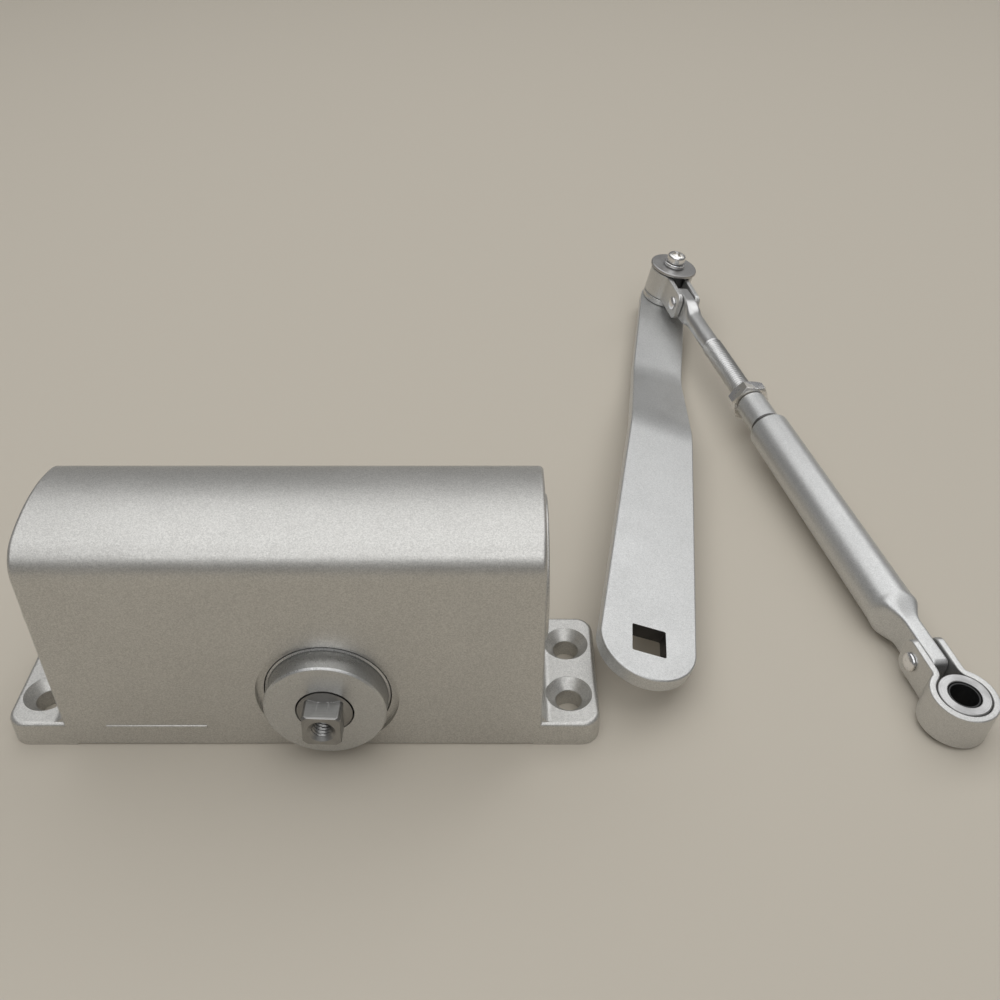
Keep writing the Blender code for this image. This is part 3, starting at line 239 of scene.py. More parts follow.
def polar_stack(radii, heights, angle):
    """Rows of radius by angle, each at its height: one skin round local Z."""
    height = np.broadcast_to(np.asarray(heights)[:, None], radii.shape)
    grid = np.stack((radii * np.cos(angle), radii * np.sin(angle), height), -1)
    return shell(grid)


def prism(outline, low, high):
    """A closed outline (n, 2) carried straight along local Z, with flat ends."""
    outline = np.array(outline, float)
    layer = [np.column_stack((outline, np.full(len(outline), z))) for z in (low, high)]
    return shell(np.array(layer), capped=True)


def oval_rows(x, half_y, half_z, power, columns=64):
    """Sections across local X: |y / half_y| ^ power + |z / half_z| ^ power = 1."""
    angle = circle(columns) + pi / columns
    x, half_y, half_z, power = (np.asarray(v, float)[:, None] for v in (x, half_y, half_z, power))
    y = half_y * np.sign(np.cos(angle)) * np.abs(np.cos(angle)) ** (2 / power)
    z = half_z * np.sign(np.sin(angle)) * np.abs(np.sin(angle)) ** (2 / power)
    return np.stack((np.broadcast_to(x, y.shape), y, z), -1)


def smooth_step(value):
    value = np.clip(value, 0.0, 1.0)
    return value * value * (3 - 2 * value)


def screw_thread(turns):
    """Height share of a rounded V thread, 0 in the root and 1 on the crest, by turns along it."""
    saw = np.abs((turns % 1.0) - 0.5) * 2
    return smooth_step(saw)


# ---------------------------------------------------------------- pieces


def mesh_object(name, made, place):
    points, faces, along = made
    points = points @ place[:3, :3].T + place[:3, 3]
    mesh = bpy.data.meshes.new(name)
    mesh.from_pydata(points, [], faces)
    mesh.attributes.new("along", "FLOAT", "POINT").data.foreach_set("value", along.astype(np.float32))
    bm = bmesh.new()
    bm.from_mesh(mesh)
    bmesh.ops.remove_doubles(bm, verts=bm.verts, dist=2e-7)
    bmesh.ops.dissolve_degenerate(bm, edges=bm.edges, dist=1e-7)
    bmesh.ops.recalc_face_normals(bm, faces=bm.faces)
    bm.to_mesh(mesh)
    bm.free()
    obj = bpy.data.objects.new(name, mesh)
    bpy.context.scene.collection.objects.link(obj)
    return obj


def carve(obj, operation, cutters):
    """Joins or drills the object with closed cutters, and keeps only the result's mesh."""
    for i, (made, place) in enumerate(cutters):
        other = mesh_object(f"{obj.name}_cutter_{i}", made, place)
        modifier = obj.modifiers.new("cut", "BOOLEAN")
        modifier.operation = operation
        modifier.solver = "EXACT"
        modifier.object = other
    seen = obj.evaluated_get(bpy.context.evaluated_depsgraph_get())
    result = bpy.data.meshes.new_from_object(seen)
    others = [modifier.object for modifier in obj.modifiers]
    obj.modifiers.clear()
    obj.data = result
    for other in others:
        bpy.data.objects.remove(other)
    return obj


def finish_piece(obj, body, node, look, crease=32):
    """Shades and colours a piece, hangs it under its body's empty, and hides the frame's node that it stands
    for.
    """
    bm = bmesh.new()
    bm.from_mesh(obj.data)
    bmesh.ops.remove_doubles(bm, verts=bm.verts, dist=1e-6)
    bm.to_mesh(obj.data)
    bm.free()
    obj.data.shade_smooth()
    obj.data.set_sharp_from_angle(angle=radians(crease))
    weighted = obj.modifiers.new("weighted normals", "WEIGHTED_NORMAL")
    weighted.keep_sharp = True
    weighted.weight = 80
    obj.data.materials.clear()
    obj.data.materials.append(look)
    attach(obj, body)
    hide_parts(node)
    return obj


# ---------------------------------------------------------------- finishes


def new_group(name, inputs, outputs):
    """A shader node group with float or colour sockets, and its input and output nodes."""
    tree = bpy.data.node_groups.new(name, "ShaderNodeTree")
    for label, kind, value in inputs:
        socket = tree.interface.new_socket(label, in_out="INPUT", socket_type=kind)
        socket.default_value = value
    for label, kind in outputs:
        tree.interface.new_socket(label, in_out="OUTPUT", socket_type=kind)
    return tree, tree.nodes.new("NodeGroupInput"), tree.nodes.new("NodeGroupOutput")


def maths(tree, operation, first, second=None, clamp=False):
    """A Math node on two sockets or numbers, giving its output socket."""
    node = tree.nodes.new("ShaderNodeMath")
    node.operation = operation
    node.use_clamp = clamp
    for i, value in enumerate((first, second)):
        if value is None:
            continue
        if isinstance(value, (int, float)):
            node.inputs[i].default_value = value
        else:
            tree.links.new(value, node.inputs[i])
    return node.outputs[0]


def noise(tree, vector, scale, detail=2.0, rough=0.5):
    node = tree.nodes.new("ShaderNodeTexNoise")
    node.inputs["Scale"].default_value = scale
    node.inputs["Detail"].default_value = detail
    node.inputs["Roughness"].default_value = rough
    tree.links.new(vector, node.inputs["Vector"])
    return node.outputs["Fac"]


def spread(tree, value, low, high, out_low=0.0, out_high=1.0):
    """A value's range mapped smoothly to another range."""
    node = tree.nodes.new("ShaderNodeMapRange")
    node.interpolation_type = "SMOOTHSTEP"
    numbers = (low, high, out_low, out_high)
    for label, number in zip(("From Min", "From Max", "To Min", "To Max"), numbers):
        node.inputs[label].default_value = number
    tree.links.new(value, node.inputs["Value"])
    return node.outputs["Result"]


def mix_colour(tree, factor, first, second, blend="MIX"):
    node = tree.nodes.new("ShaderNodeMix")
    node.data_type = "RGBA"
    node.blend_type = blend
    sockets = (node.inputs["Factor"], node.inputs["A"], node.inputs["B"])
    sockets = (node.inputs[0], node.inputs[6], node.inputs[7])
    for socket, value in zip(sockets, (factor, first, second)):
        if isinstance(value, (int, float, tuple)):
            socket.default_value = value
        else:
            tree.links.new(value, socket)
    return node.outputs[2]


def flake_group():
    """Aluminium flake in lacquer: every cell has its own brightness, over a faint orange peel."""
    inputs = (("Colour", "NodeSocketColor", (0.6, 0.6, 0.6, 1)),)
    inputs += (("Flake Strength", "NodeSocketFloat", 0.2), ("Peel Height", "NodeSocketFloat", 0.5))
    outputs = (("Colour", "NodeSocketColor"), ("Roughness Shift", "NodeSocketFloat"))
    outputs += (("Height", "NodeSocketFloat"),)
    tree, given, made = new_group("metallic flake", inputs, outputs)
    place = tree.nodes.new("ShaderNodeTexCoord").outputs["Object"]
    cells = tree.nodes.new("ShaderNodeTexVoronoi")
    cells.inputs["Scale"].default_value = 4600.0
    tree.links.new(place, cells.inputs["Vector"])
    split = tree.nodes.new("ShaderNodeSeparateColor")
    tree.links.new(cells.outputs["Color"], split.inputs[0])
    cloud = noise(tree, place, 45.0, 3.0)
    shift = maths(tree, "SUBTRACT", split.outputs[0], 0.5)
    shift = maths(tree, "MULTIPLY", shift, given.outputs["Flake Strength"])
    slow = maths(tree, "MULTIPLY", maths(tree, "SUBTRACT", cloud, 0.5), 0.10)
    bright = maths(tree, "ADD", maths(tree, "ADD", shift, slow), 1.0)
    scaled = tree.nodes.new("ShaderNodeVectorMath")
    scaled.operation = "SCALE"
    tree.links.new(given.outputs["Colour"], scaled.inputs[0])
    tree.links.new(bright, scaled.inputs["Scale"])
    tree.links.new(scaled.outputs[0], made.inputs["Colour"])
    rough = maths(tree, "MULTIPLY", maths(tree, "SUBTRACT", split.outputs[1], 0.5), 0.16)
    tree.links.new(rough, made.inputs["Roughness Shift"])
    peel = maths(tree, "MULTIPLY", noise(tree, place, 620.0, 2.0), given.outputs["Peel Height"])
    tilt = maths(tree, "MULTIPLY", split.outputs[2], 0.35)
    tree.links.new(maths(tree, "ADD", peel, tilt), made.inputs["Height"])
    return tree


def lay_group():
    """Machining marks: fine rings that follow the length along a turned profile, slightly uneven."""
    inputs = (("Rings Per Metre", "NodeSocketFloat", 5000.0),)
    outputs = (("Mask", "NodeSocketFloat"), ("Height", "NodeSocketFloat"))
    tree, given, made = new_group("turning marks", inputs, outputs)
    along = tree.nodes.new("ShaderNodeAttribute")
    along.attribute_name = "along"
    place = tree.nodes.new("ShaderNodeTexCoord").outputs["Object"]
    wander = maths(tree, "MULTIPLY", noise(tree, place, 60.0), 0.00006)
    length = maths(tree, "ADD", along.outputs["Fac"], wander)
    rings = tree.nodes.new("ShaderNodeTexNoise")
    rings.noise_dimensions = "1D"
    rings.inputs["Scale"].default_value = 1.0
    rings.inputs["Detail"].default_value = 4.0
    tree.links.new(maths(tree, "MULTIPLY", length, given.outputs["Rings Per Metre"]), rings.inputs["W"])
    tree.links.new(rings.outputs["Fac"], made.inputs["Mask"])
    tree.links.new(rings.outputs["Fac"], made.inputs["Height"])
    return tree


def handling_group():
    """Grime and fingering: soft patches, with small darker specks inside them."""
    inputs = (("Patch Size", "NodeSocketFloat", 40.0), ("Amount", "NodeSocketFloat", 0.5))
    outputs = (("Patches", "NodeSocketFloat"), ("Specks", "NodeSocketFloat"))
    tree, given, made = new_group("handling marks", inputs, outputs)
    place = tree.nodes.new("ShaderNodeTexCoord").outputs["Object"]
    patch = tree.nodes.new("ShaderNodeTexNoise")
    patch.inputs["Detail"].default_value = 5.0
    patch.inputs["Roughness"].default_value = 0.6
    tree.links.new(place, patch.inputs["Vector"])
    tree.links.new(given.outputs["Patch Size"], patch.inputs["Scale"])
    soft = spread(tree, patch.outputs["Fac"], 0.42, 0.68)
    tree.links.new(maths(tree, "MULTIPLY", soft, given.outputs["Amount"]), made.inputs["Patches"])
    fine = spread(tree, noise(tree, place, 900.0, 3.0), 0.62, 0.74)
    speck = maths(tree, "MULTIPLY", fine, given.outputs["Amount"])
    tree.links.new(speck, made.inputs["Specks"])
    return tree


def edge_group():
    """Worn edges: convex edges brighten where a noise lets them, hollows stay as they are."""
    inputs = (("Width", "NodeSocketFloat", 0.5),)
    tree, given, made = new_group("edge shine", inputs, (("Mask", "NodeSocketFloat"),))
    geometry = tree.nodes.new("ShaderNodeNewGeometry")
    place = tree.nodes.new("ShaderNodeTexCoord").outputs["Object"]
    sharp = spread(tree, geometry.outputs["Pointiness"], 0.52, 0.60)
    broken = spread(tree, noise(tree, place, 350.0, 3.0), 0.30, 0.62)
    mask = maths(tree, "MULTIPLY", maths(tree, "MULTIPLY", sharp, broken), given.outputs["Width"])
    tree.links.new(mask, made.inputs["Mask"])
    return tree


FLAKE = flake_group()
LAY = lay_group()
HANDLING = handling_group()
EDGE = edge_group()


def use_group(tree, group, **values):
    node = tree.nodes.new("ShaderNodeGroup")
    node.node_tree = group
    for label, value in values.items():
        node.inputs[label.replace("_", " ").title()].default_value = value
    return node


def new_look(name, metallic, roughness, coat=0.0, coat_roughness=0.2):
    look = bpy.data.materials.new(name)
    look.use_nodes = True
    shader = look.node_tree.nodes["Principled BSDF"]
    shader.inputs["Metallic"].default_value = metallic
    shader.inputs["Roughness"].default_value = roughness
    shader.inputs["Coat Weight"].default_value = coat
    shader.inputs["Coat Roughness"].default_value = coat_roughness
    return look, look.node_tree, shader


def bump(tree, shader, height, distance, strength=1.0):
    node = tree.nodes.new("ShaderNodeBump")
    node.inputs["Strength"].default_value = strength
    node.inputs["Distance"].default_value = distance
    tree.links.new(height, node.inputs["Height"])
    tree.links.new(node.outputs[0], shader.inputs["Normal"])


def paint(name, colour, roughness, flake=0.25, peel=0.6, metallic=0.88):
    """Silver metallic lacquer: flake under a thin clear coat, darker specks, brighter edges."""
    look, tree, shader = new_look(name, metallic, roughness, 0.12, 0.25)
    grain = use_group(tree, FLAKE, colour=(*colour, 1), flake_strength=flake, peel_height=peel)
    marks = use_group(tree, HANDLING, patch_size=38.0, amount=0.5)
    edges = use_group(tree, EDGE, width=0.35)
    dark = tuple(0.62 * c for c in colour) + (1,)
    light = tuple(min(1.0, 1.18 * c) for c in colour) + (1,)
    soiled = maths(tree, "MULTIPLY", marks.outputs["Specks"], 0.15)
    base = mix_colour(tree, soiled, grain.outputs["Colour"], dark)
    base = mix_colour(tree, edges.outputs["Mask"], base, light)
    tree.links.new(base, shader.inputs["Base Color"])
    patch = maths(tree, "MULTIPLY", marks.outputs["Patches"], 0.10)
    rough = maths(tree, "ADD", grain.outputs["Roughness Shift"], patch)
    rough = maths(tree, "ADD", rough, roughness, True)
    tree.links.new(rough, shader.inputs["Roughness"])
    bump(tree, shader, grain.outputs["Height"], 0.00003, 0.6)
    return look


def turned_metal(name, colour, roughness, rings=5000.0, tint=0.3, depth=0.00001):
    """Bare metal off the lathe: rings along the profile shift its colour, gloss and surface."""
    look, tree, shader = new_look(name, 1.0, roughness)
    lay = use_group(tree, LAY, rings_per_metre=rings)
    marks = use_group(tree, HANDLING, patch_size=120.0, amount=0.7)
    edges = use_group(tree, EDGE, width=0.5)
    dark = tuple(0.6 * c for c in colour) + (1,)
    light = tuple(min(1.0, 1.35 * c) for c in colour) + (1,)
    shade = maths(tree, "MULTIPLY", spread(tree, lay.outputs["Mask"], 0.35, 0.7), tint)
    base = mix_colour(tree, shade, (*colour, 1), dark)
    base = mix_colour(tree, maths(tree, "MULTIPLY", marks.outputs["Patches"], 0.5), base, dark)
    base = mix_colour(tree, edges.outputs["Mask"], base, light)
    tree.links.new(base, shader.inputs["Base Color"])
    shift = maths(tree, "MULTIPLY", maths(tree, "SUBTRACT", lay.outputs["Mask"], 0.5), 0.25)
    patch = maths(tree, "MULTIPLY", marks.outputs["Patches"], 0.15)
    rough = maths(tree, "ADD", maths(tree, "ADD", shift, patch), roughness, True)
    tree.links.new(rough, shader.inputs["Roughness"])
    bump(tree, shader, lay.outputs["Height"], depth, 0.5)
    return look


def zinc_plate(name):
    """Bright zinc: clear bluish plate with warmer passivated patches and small scratches."""
    look, tree, shader = new_look(name, 1.0, 0.22)
    marks = use_group(tree, HANDLING, patch_size=150.0, amount=1.0)
    place = tree.nodes.new("ShaderNodeTexCoord").outputs["Object"]
    cool, warm = (0.86, 0.86, 0.87, 1), (0.72, 0.69, 0.63, 1)
    base = mix_colour(tree, marks.outputs["Patches"], cool, warm)
    base = mix_colour(tree, maths(tree, "MULTIPLY", marks.outputs["Specks"], 0.5), base, (0.4, 0.4, 0.4, 1))
    tree.links.new(base, shader.inputs["Base Color"])
    rough = maths(tree, "MULTIPLY", marks.outputs["Patches"], 0.16)
    tree.links.new(maths(tree, "ADD", rough, 0.2, True), shader.inputs["Roughness"])
    bump(tree, shader, noise(tree, place, 1400.0, 3.0), 0.000015, 0.5)
    return look


def dull_black(name, colour, roughness, size, depth):
    """Rubber or bearing plastic: near black, with a fine dusty grain."""
    look, tree, shader = new_look(name, 0.0, roughness)
    place = tree.nodes.new("ShaderNodeTexCoord").outputs["Object"]
    grain = noise(tree, place, size, 4.0, 0.6)
    pale = tuple(2.6 * c for c in colour) + (1,)
    base = mix_colour(tree, spread(tree, grain, 0.45, 0.8), (*colour, 1), pale)
    tree.links.new(base, shader.inputs["Base Color"])
    lift = maths(tree, "MULTIPLY", maths(tree, "SUBTRACT", grain, 0.5), 0.3)
    tree.links.new(maths(tree, "ADD", lift, roughness, True), shader.inputs["Roughness"])
    bump(tree, shader, grain, depth, 0.6)
    return look


BODY_PAINT = paint("body paint", (0.60, 0.59, 0.565), 0.40, flake=0.30, peel=0.9)
ARM_PAINT = paint("arm paint", (0.64, 0.64, 0.63), 0.40, flake=0.24, peel=0.6)
STRAP_PAINT = paint("strap paint", (0.62, 0.615, 0.60), 0.36, flake=0.18, peel=0.5)
STEEL = turned_metal("turned steel", (0.50, 0.495, 0.485), 0.30)
DARK_STEEL = turned_metal("pinion steel", (0.36, 0.355, 0.345), 0.34, tint=0.5)
INNER_STEEL = turned_metal("inner steel", (0.42, 0.42, 0.42), 0.38)
ZINC = zinc_plate("bright zinc")
WIRE = turned_metal("spring wire", (0.20, 0.20, 0.22), 0.42)
BRASS = turned_metal("turned brass", (0.72, 0.53, 0.24), 0.28)
RUBBER = dull_black("seal rubber", (0.018, 0.018, 0.018), 0.62, 700.0, 0.00003)
# Near-black material that paints shade onto the walls of the arm's square hole.
HOLE_PAINTED_SHADE = turned_metal("painted hole shade", (0.10, 0.095, 0.09), 0.5)
# Dark material that paints the shade in the groove between the forearm's neck and its shoulder.
GROOVE_PAINTED_SHADE = turned_metal("groove painted shade", (0.16, 0.155, 0.15), 0.45)
LINER = dull_black("liner plastic", (0.012, 0.012, 0.012), 0.45, 1500.0, 0.00001)


# ---------------------------------------------------------------- closer body

WORLD = np.eye(4)
SPINDLE_FRAME = placed(WORLD, SPINDLE, FRONT)
SPINDLE_BACK = placed(WORLD, SPINDLE, BACK)
BORE_FRAME = placed(WORLD, (0, 0, BORE_HEIGHT), RIGHT)


def body_section(inset):
    """The body's outline in (y, z): flat sides, round shoulders, a shallow crown, a soft foot."""
    middle = HALF_WIDTH - CORNER
    centre = SHOULDER - np.sqrt((CROWN - CORNER) ** 2 - middle**2)
    slope = np.arctan2(SHOULDER - centre, middle)
    foot = 0.8 * MM
    side = HALF_WIDTH - inset
    parts = [arc((middle, SHOULDER), CORNER - inset, 0, slope, 14)]
    parts.append(arc((0, centre), CROWN - inset, slope, pi - slope, 40)[1:-1])
    parts.append(arc((-middle, SHOULDER), CORNER - inset, pi - slope, pi, 14))
    parts.append(arc((foot - side, foot + inset), foot, pi, 1.5 * pi, 4))
    parts.append(arc((side - foot, foot + inset), foot, 1.5 * pi, 2 * pi, 4))
    return np.concatenate(parts)


def body_block():
    """The section carried along X; towards each end it draws in as a quarter circle does."""
    rounding = 1.2 * MM
    turn = np.linspace(0, pi / 2, 7)
    x = -HALF_LENGTH + rounding * (1 - np.cos(turn))
    inset = rounding * (1 - np.sin(turn))
    x = np.concatenate((x, -x[::-1]))
    inset = np.concatenate((inset, inset[::-1]))
    rows = []
    for place, drawn in zip(x, inset):
        section = body_section(drawn)
        rows.append(np.column_stack((np.full(len(section), place), section)))
    return shell(np.array(rows), capped=True)


def lug():
    """A lug's round-cornered plan, drawn in towards its top as a quarter circle does."""
    root = HALF_LENGTH - 2.4 * MM
    end = HALF_LENGTH + LUG_REACH
    rounding = 1.3 * MM
    turn = np.linspace(0, pi / 2, 7)
    heights = [0.0] + list(LUG_HEIGHT - rounding * (1 - np.sin(turn)))
    insets = [0.0] + list(rounding * (1 - np.cos(turn)))
    rows = []
    for height, inset in zip(heights, insets):
        half = HALF_WIDTH - 0.02 * MM - inset
        corner = LUG_CORNER - inset
        reach = end - inset
        plan = [np.array([[root, -half]])]
        plan.append(arc((reach - corner, corner - half), corner, -pi / 2, 0, 14))
        plan.append(arc((reach - corner, half - corner), corner, 0, pi / 2, 14))
        plan.append(np.array([[root, half]]))
        plan = np.concatenate(plan)
        rows.append(np.column_stack((plan, np.full(len(plan), height))))
    return shell(np.array(rows), capped=True)


def lug_hollow():
    """The concave strip in the corner between a lug and the body's end, carried along Y."""
    face = HALF_LENGTH - 0.5 * MM
    centre = (HALF_LENGTH + LUG_FILLET, LUG_HEIGHT + LUG_FILLET)
    curve = arc(centre, LUG_FILLET, pi, 1.5 * pi, 10)
    under = LUG_HEIGHT - 1.4 * MM
    outline = np.vstack((curve, [[curve[-1, 0], under], [face, under], [face, curve[0, 1]]]))
    half = HALF_WIDTH - 1.0 * MM
    return prism(outline, -half, half)


def screw_hole():
    """A clearance hole and its countersink, whose rim is broken by a small round."""
    top = LUG_HEIGHT
    throat = top - (SINK_RADIUS - SCREW_RADIUS)
    corners = [(0, -MM), (SCREW_RADIUS, -MM), (SCREW_RADIUS, throat), (SINK_RADIUS, top)]
    corners += [(SINK_RADIUS + MM, top + 4 * MM), (0, top + 4 * MM)]
    radii = [0, 0, 0.4 * MM, 0.5 * MM, 0, 0]
    return turned(rounded(corners, radii), 64)


def cross_bore():
    """The cavity along the spindle: recess, cap seat and gear room, the same on both sides."""
    seat = CAP_RADIUS + GAP
    room = 13.3 * MM
    half = [(room, CAP_INNER), (seat, CAP_INNER), (seat, RECESS_FLOOR)]
    half += [(RECESS_RADIUS, RECESS_FLOOR), (RECESS_RADIUS, HALF_WIDTH + MM), (0, HALF_WIDTH + MM)]
    whole = [(r, -z) for r, z in reversed(half)] + half
    return turned(whole, 128)


def piston_bore():
    """The bore along the body with a wider seat for each plug's rim."""
    rim = PLUG_RIM + GAP
    floor = HALF_LENGTH - 2.0 * MM
    half = [(BORE_RADIUS, floor), (rim, floor), (rim, HALF_LENGTH + MM), (0, HALF_LENGTH + MM)]
    return turned([(r, -z) for r, z in reversed(half)] + half, 96)


def valve_hole():
    radius = VALVE_RADIUS + GAP
    depth = 13.1 * MM
    profile = [(0, MM), (radius + 1.5 * MM, MM), (radius, -0.5 * MM), (radius, -depth)]
    profile += [(1.1 * MM, -depth - MM), (1.1 * MM, -depth - 5 * MM), (0, -depth - 5 * MM)]
    return turned(profile, 40)


def make_housing():
    housing = mesh_object("housing shell", body_block(), WORLD)
    right = placed(WORLD)
    left = placed(WORLD, turn=(0, 0, pi))
    added = []
    for side in (right, left):
        added.append((lug(), side))
        added.append((lug_hollow(), placed(side, turn=(radians(90), 0, 0))))
    carve(housing, "UNION", added)
    cuts = [(cross_bore(), SPINDLE_FRAME), (piston_bore(), BORE_FRAME)]
    for sign_x in (-1, 1):
        for sign_y in (-1, 1):
            cuts.append((screw_hole(), placed(WORLD, (sign_x * SCREW_X, sign_y * SCREW_Y, 0))))
    for sign in (-1, 1):
        mouth = (HALF_LENGTH, sign * VALVE_Y, VALVE_HEIGHT)
        cuts.append((valve_hole(), placed(WORLD, mouth, RIGHT)))
    carve(housing, "DIFFERENCE", cuts)
    housing.name = "housing_casting"
    finish_piece(housing, "closer", "housing", BODY_PAINT)


def raised_bar():
    """A plain raised bar low on the front face: a flat box with softly rounded edges."""
    low, high = (-51.9 * MM, 6.6 * MM), (-25.1 * MM, 7.7 * MM)
    turn = np.linspace(0, pi / 2, 5)
    rows = []
    depths = [-0.3 * MM] + list(0.28 * MM * np.sin(turn))
    insets = [0.0] + list(0.28 * MM * (1 - np.cos(turn)))
    for depth, inset in zip(depths, insets):
        half_x = (high[0] - low[0]) / 2 - inset
        half_z = (high[1] - low[1]) / 2 - inset
        corners = [(half_x, half_z), (-half_x, half_z), (-half_x, -half_z), (half_x, -half_z)]
        outline = rounded(corners, [0.15 * MM] * 4, 3)
        middle_x, middle_z = (low[0] + high[0]) / 2, (low[1] + high[1]) / 2
        y = np.full(len(outline), -HALF_WIDTH - depth)
        rows.append(np.column_stack((outline[:, 0] + middle_x, y, outline[:, 1] + middle_z)))
    return shell(np.array(rows), capped=True)


def make_caps():
    """Bearing caps: a turned ring with a narrow chamfer, standing proud of its recess."""
    mouth = JOURNAL + GAP
    pocket = BUSH_RADIUS + GAP
    inner = CAP_INNER + GAP
    shelf = CAP_FACE - 1.6 * MM
    corners = [(pocket, inner), (CAP_RADIUS, inner), (CAP_RADIUS, RECESS_FLOOR)]
    corners += [(CAP_FACE_RADIUS, RECESS_FLOOR + GAP), (CAP_FACE_RADIUS, CAP_FACE - 0.5 * MM)]
    corners += [(CAP_FACE_RADIUS - 0.5 * MM, CAP_FACE), (mouth, CAP_FACE), (mouth, shelf)]
    corners += [(pocket, shelf)]
    radii = [0, 0, 0, 0, 0.2 * MM, 0.2 * MM, 0.25 * MM, 0, 0]
    profile = rounded(corners, radii)
    for side, place in (("front", SPINDLE_FRAME), ("rear", SPINDLE_BACK)):
        cap = mesh_object(f"cap_{side}_turned", turned(profile, 160), place)
        finish_piece(cap, "closer", f"bearing_cap_{side}", CAP_PAINT)


def make_plugs():
    """End plugs: a barrel with its seal groove and a thin painted rim."""
    barrel = BORE_RADIUS - GAP
    seat = -1.7 * MM
    corners = [(0, -10 * MM), (barrel, -10 * MM), (barrel, -6.6 * MM), (barrel - 1.9 * MM, -6.6 * MM)]
    corners += [(barrel - 1.9 * MM, -4 * MM), (barrel, -4 * MM), (barrel, seat), (PLUG_RIM, seat)]
    corners += [(PLUG_RIM, PLUG_PROUD), (0, PLUG_PROUD)]
    radii = [0, 0.8 * MM, 0, 0, 0, 0, 0, 0, 0.5 * MM, 0]
    profile = rounded(corners, radii)
    for side, sign, facing in (("right", 1, RIGHT), ("left", -1, LEFT)):
        place = placed(WORLD, (sign * HALF_LENGTH, 0, BORE_HEIGHT), facing)
        plug = mesh_object(f"plug_{side}_turned", turned(profile, 128), place)
        finish_piece(plug, "closer", f"end_plug_{side}", BODY_PAINT)


def make_valves():
    """Needle screws: a cone, a seal groove and a slotted, broken-edged head."""
    radius = VALVE_RADIUS
    corners = [(0, -12 * MM), (0.7 * MM, -11.8 * MM), (radius, -8 * MM), (radius, -4.4 * MM)]
    corners += [(radius - 0.9 * MM, -4.4 * MM), (radius - 0.9 * MM, -2.8 * MM), (radius, -2.8 * MM)]
    corners += [(radius, 0), (0, 0)]
    profile = rounded(corners, [0, 0, 0.3 * MM, 0, 0, 0, 0, 0.4 * MM, 0])
    slot_outline = [(4 * MM, 0.45 * MM), (-4 * MM, 0.45 * MM), (-4 * MM, -0.45 * MM), (4 * MM, -0.45 * MM)]
    for name, y in (("sweep", -VALVE_Y), ("latch", VALVE_Y)):
        place = placed(WORLD, (HALF_LENGTH - 0.8 * MM, y, VALVE_HEIGHT), RIGHT)
        screw = mesh_object(f"{name}_valve_turned", turned(profile, 48), place)
        turned_slot = placed(place, turn=(0, 0, radians(25 if name == "sweep" else -40)))
        carve(screw, "DIFFERENCE", [(prism(slot_outline, -1.1 * MM, MM), turned_slot)])
        finish_piece(screw, f"{name}_valve", f"{name}_valve_screw", BRASS)


def square_radius(angle, half, cut):
    """A square with flattened corners by angle: the nearest of its sides and corner cuts."""
    angle = angle - radians(-3.0)
    sides = half / np.maximum(np.abs(np.cos(angle)), np.abs(np.sin(angle)))
    reach = (2 * half - cut) / np.sqrt(2)
    corner = reach / np.maximum(np.abs(np.cos(angle - pi / 4)), np.abs(np.sin(angle - pi / 4)))
    return np.minimum(sides, corner)


def gear_radius(angle):
    """Involute teeth by angle, 11 of them, a gap at local +Y."""
    pitch, teeth, pressure = 11.0 * MM, 11, radians(20)
    base = pitch * np.cos(pressure)
    radii = np.concatenate(([9.3 * MM], np.linspace(base, 12.6 * MM, 9)))
    at = np.arccos(np.clip(base / np.maximum(radii, base), -1, 1))
    half = (pi * MM - 0.3 * MM) / (2 * pitch) + np.tan(pressure) - pressure - (np.tan(at) - at)
    offset = np.concatenate((-half, half[::-1]))
    offset[0] -= 0.004
    offset[-1] += 0.004
    height = np.concatenate((radii, radii[::-1]))
    step = 2 * pi / teeth
    local = (angle - pi / 2) % step - step / 2
    return np.interp(local, offset, height, left=9.3 * MM, right=9.3 * MM)


def make_pinion():
    """Gear, collars, journals, cones, squares and tapped ends as one skin: radius by angle."""
    columns = 352
    angle = circle(columns)
    flat = np.ones(columns)
    collar, shoulder, end = JOURNAL + 1.1 * MM, SPINDLE_SHOULDER, SPINDLE_END
    square = square_radius(angle, SQUARE_HALF, SQUARE_CORNER)
    turns = angle / (2 * pi)
    mouth = TAPPED_RADIUS + 1.0 * MM
    gear = gear_radius(angle)
    rows = [(gear, 0.0), (gear, 9.8 * MM), (gear - 0.2 * MM, 10 * MM)]
    rows += [(collar * flat, 10 * MM), (collar * flat, CAP_INNER - GAP), (JOURNAL * flat, CAP_INNER - GAP)]
    for step in np.linspace(0, 1, 10):
        cone = JOURNAL - (JOURNAL - SQUARE_HALF) * step
        rows.append((np.maximum(cone, square), shoulder + SHOULDER_CONE * step))
    for step in np.linspace(0, 1, 5):
        drawn = np.minimum(square, 6.5 * MM - 0.6 * MM * step)
        rows.append((np.minimum(drawn, square - 0.2 * MM * step**2), end - 0.6 * MM * (1 - step)))
    rows.append((mouth * flat, end))
    rows.append((TAPPED_RADIUS * flat, end - 0.8 * MM))
    count = 100
    depth = np.linspace(0.8 * MM, 11.0 * MM, count)
    for down in depth:
        share = screw_thread(down / (1.0 * MM) + turns)
        ease = min(1.0, (down - 0.8 * MM) / (0.5 * MM), (11.0 * MM - down) / (0.5 * MM))
        rows.append((TAPPED_RADIUS - 0.42 * MM * share * ease, end - down))
    rows.append((0.0 * flat, end - 12.0 * MM))
    radii = np.array([r for r, _ in rows])
    heights = np.array([z for _, z in rows])
    radii = np.concatenate((radii[::-1], radii[1:]))
    heights = np.concatenate((-heights[::-1], heights[1:]))
    shaft = mesh_object("pinion_skin", polar_stack(radii, heights, angle), SPINDLE_FRAME)
    finish_piece(shaft, "spindle", "pinion_shaft", DARK_STEEL, 28)


# ---------------------------------------------------------------- main arm

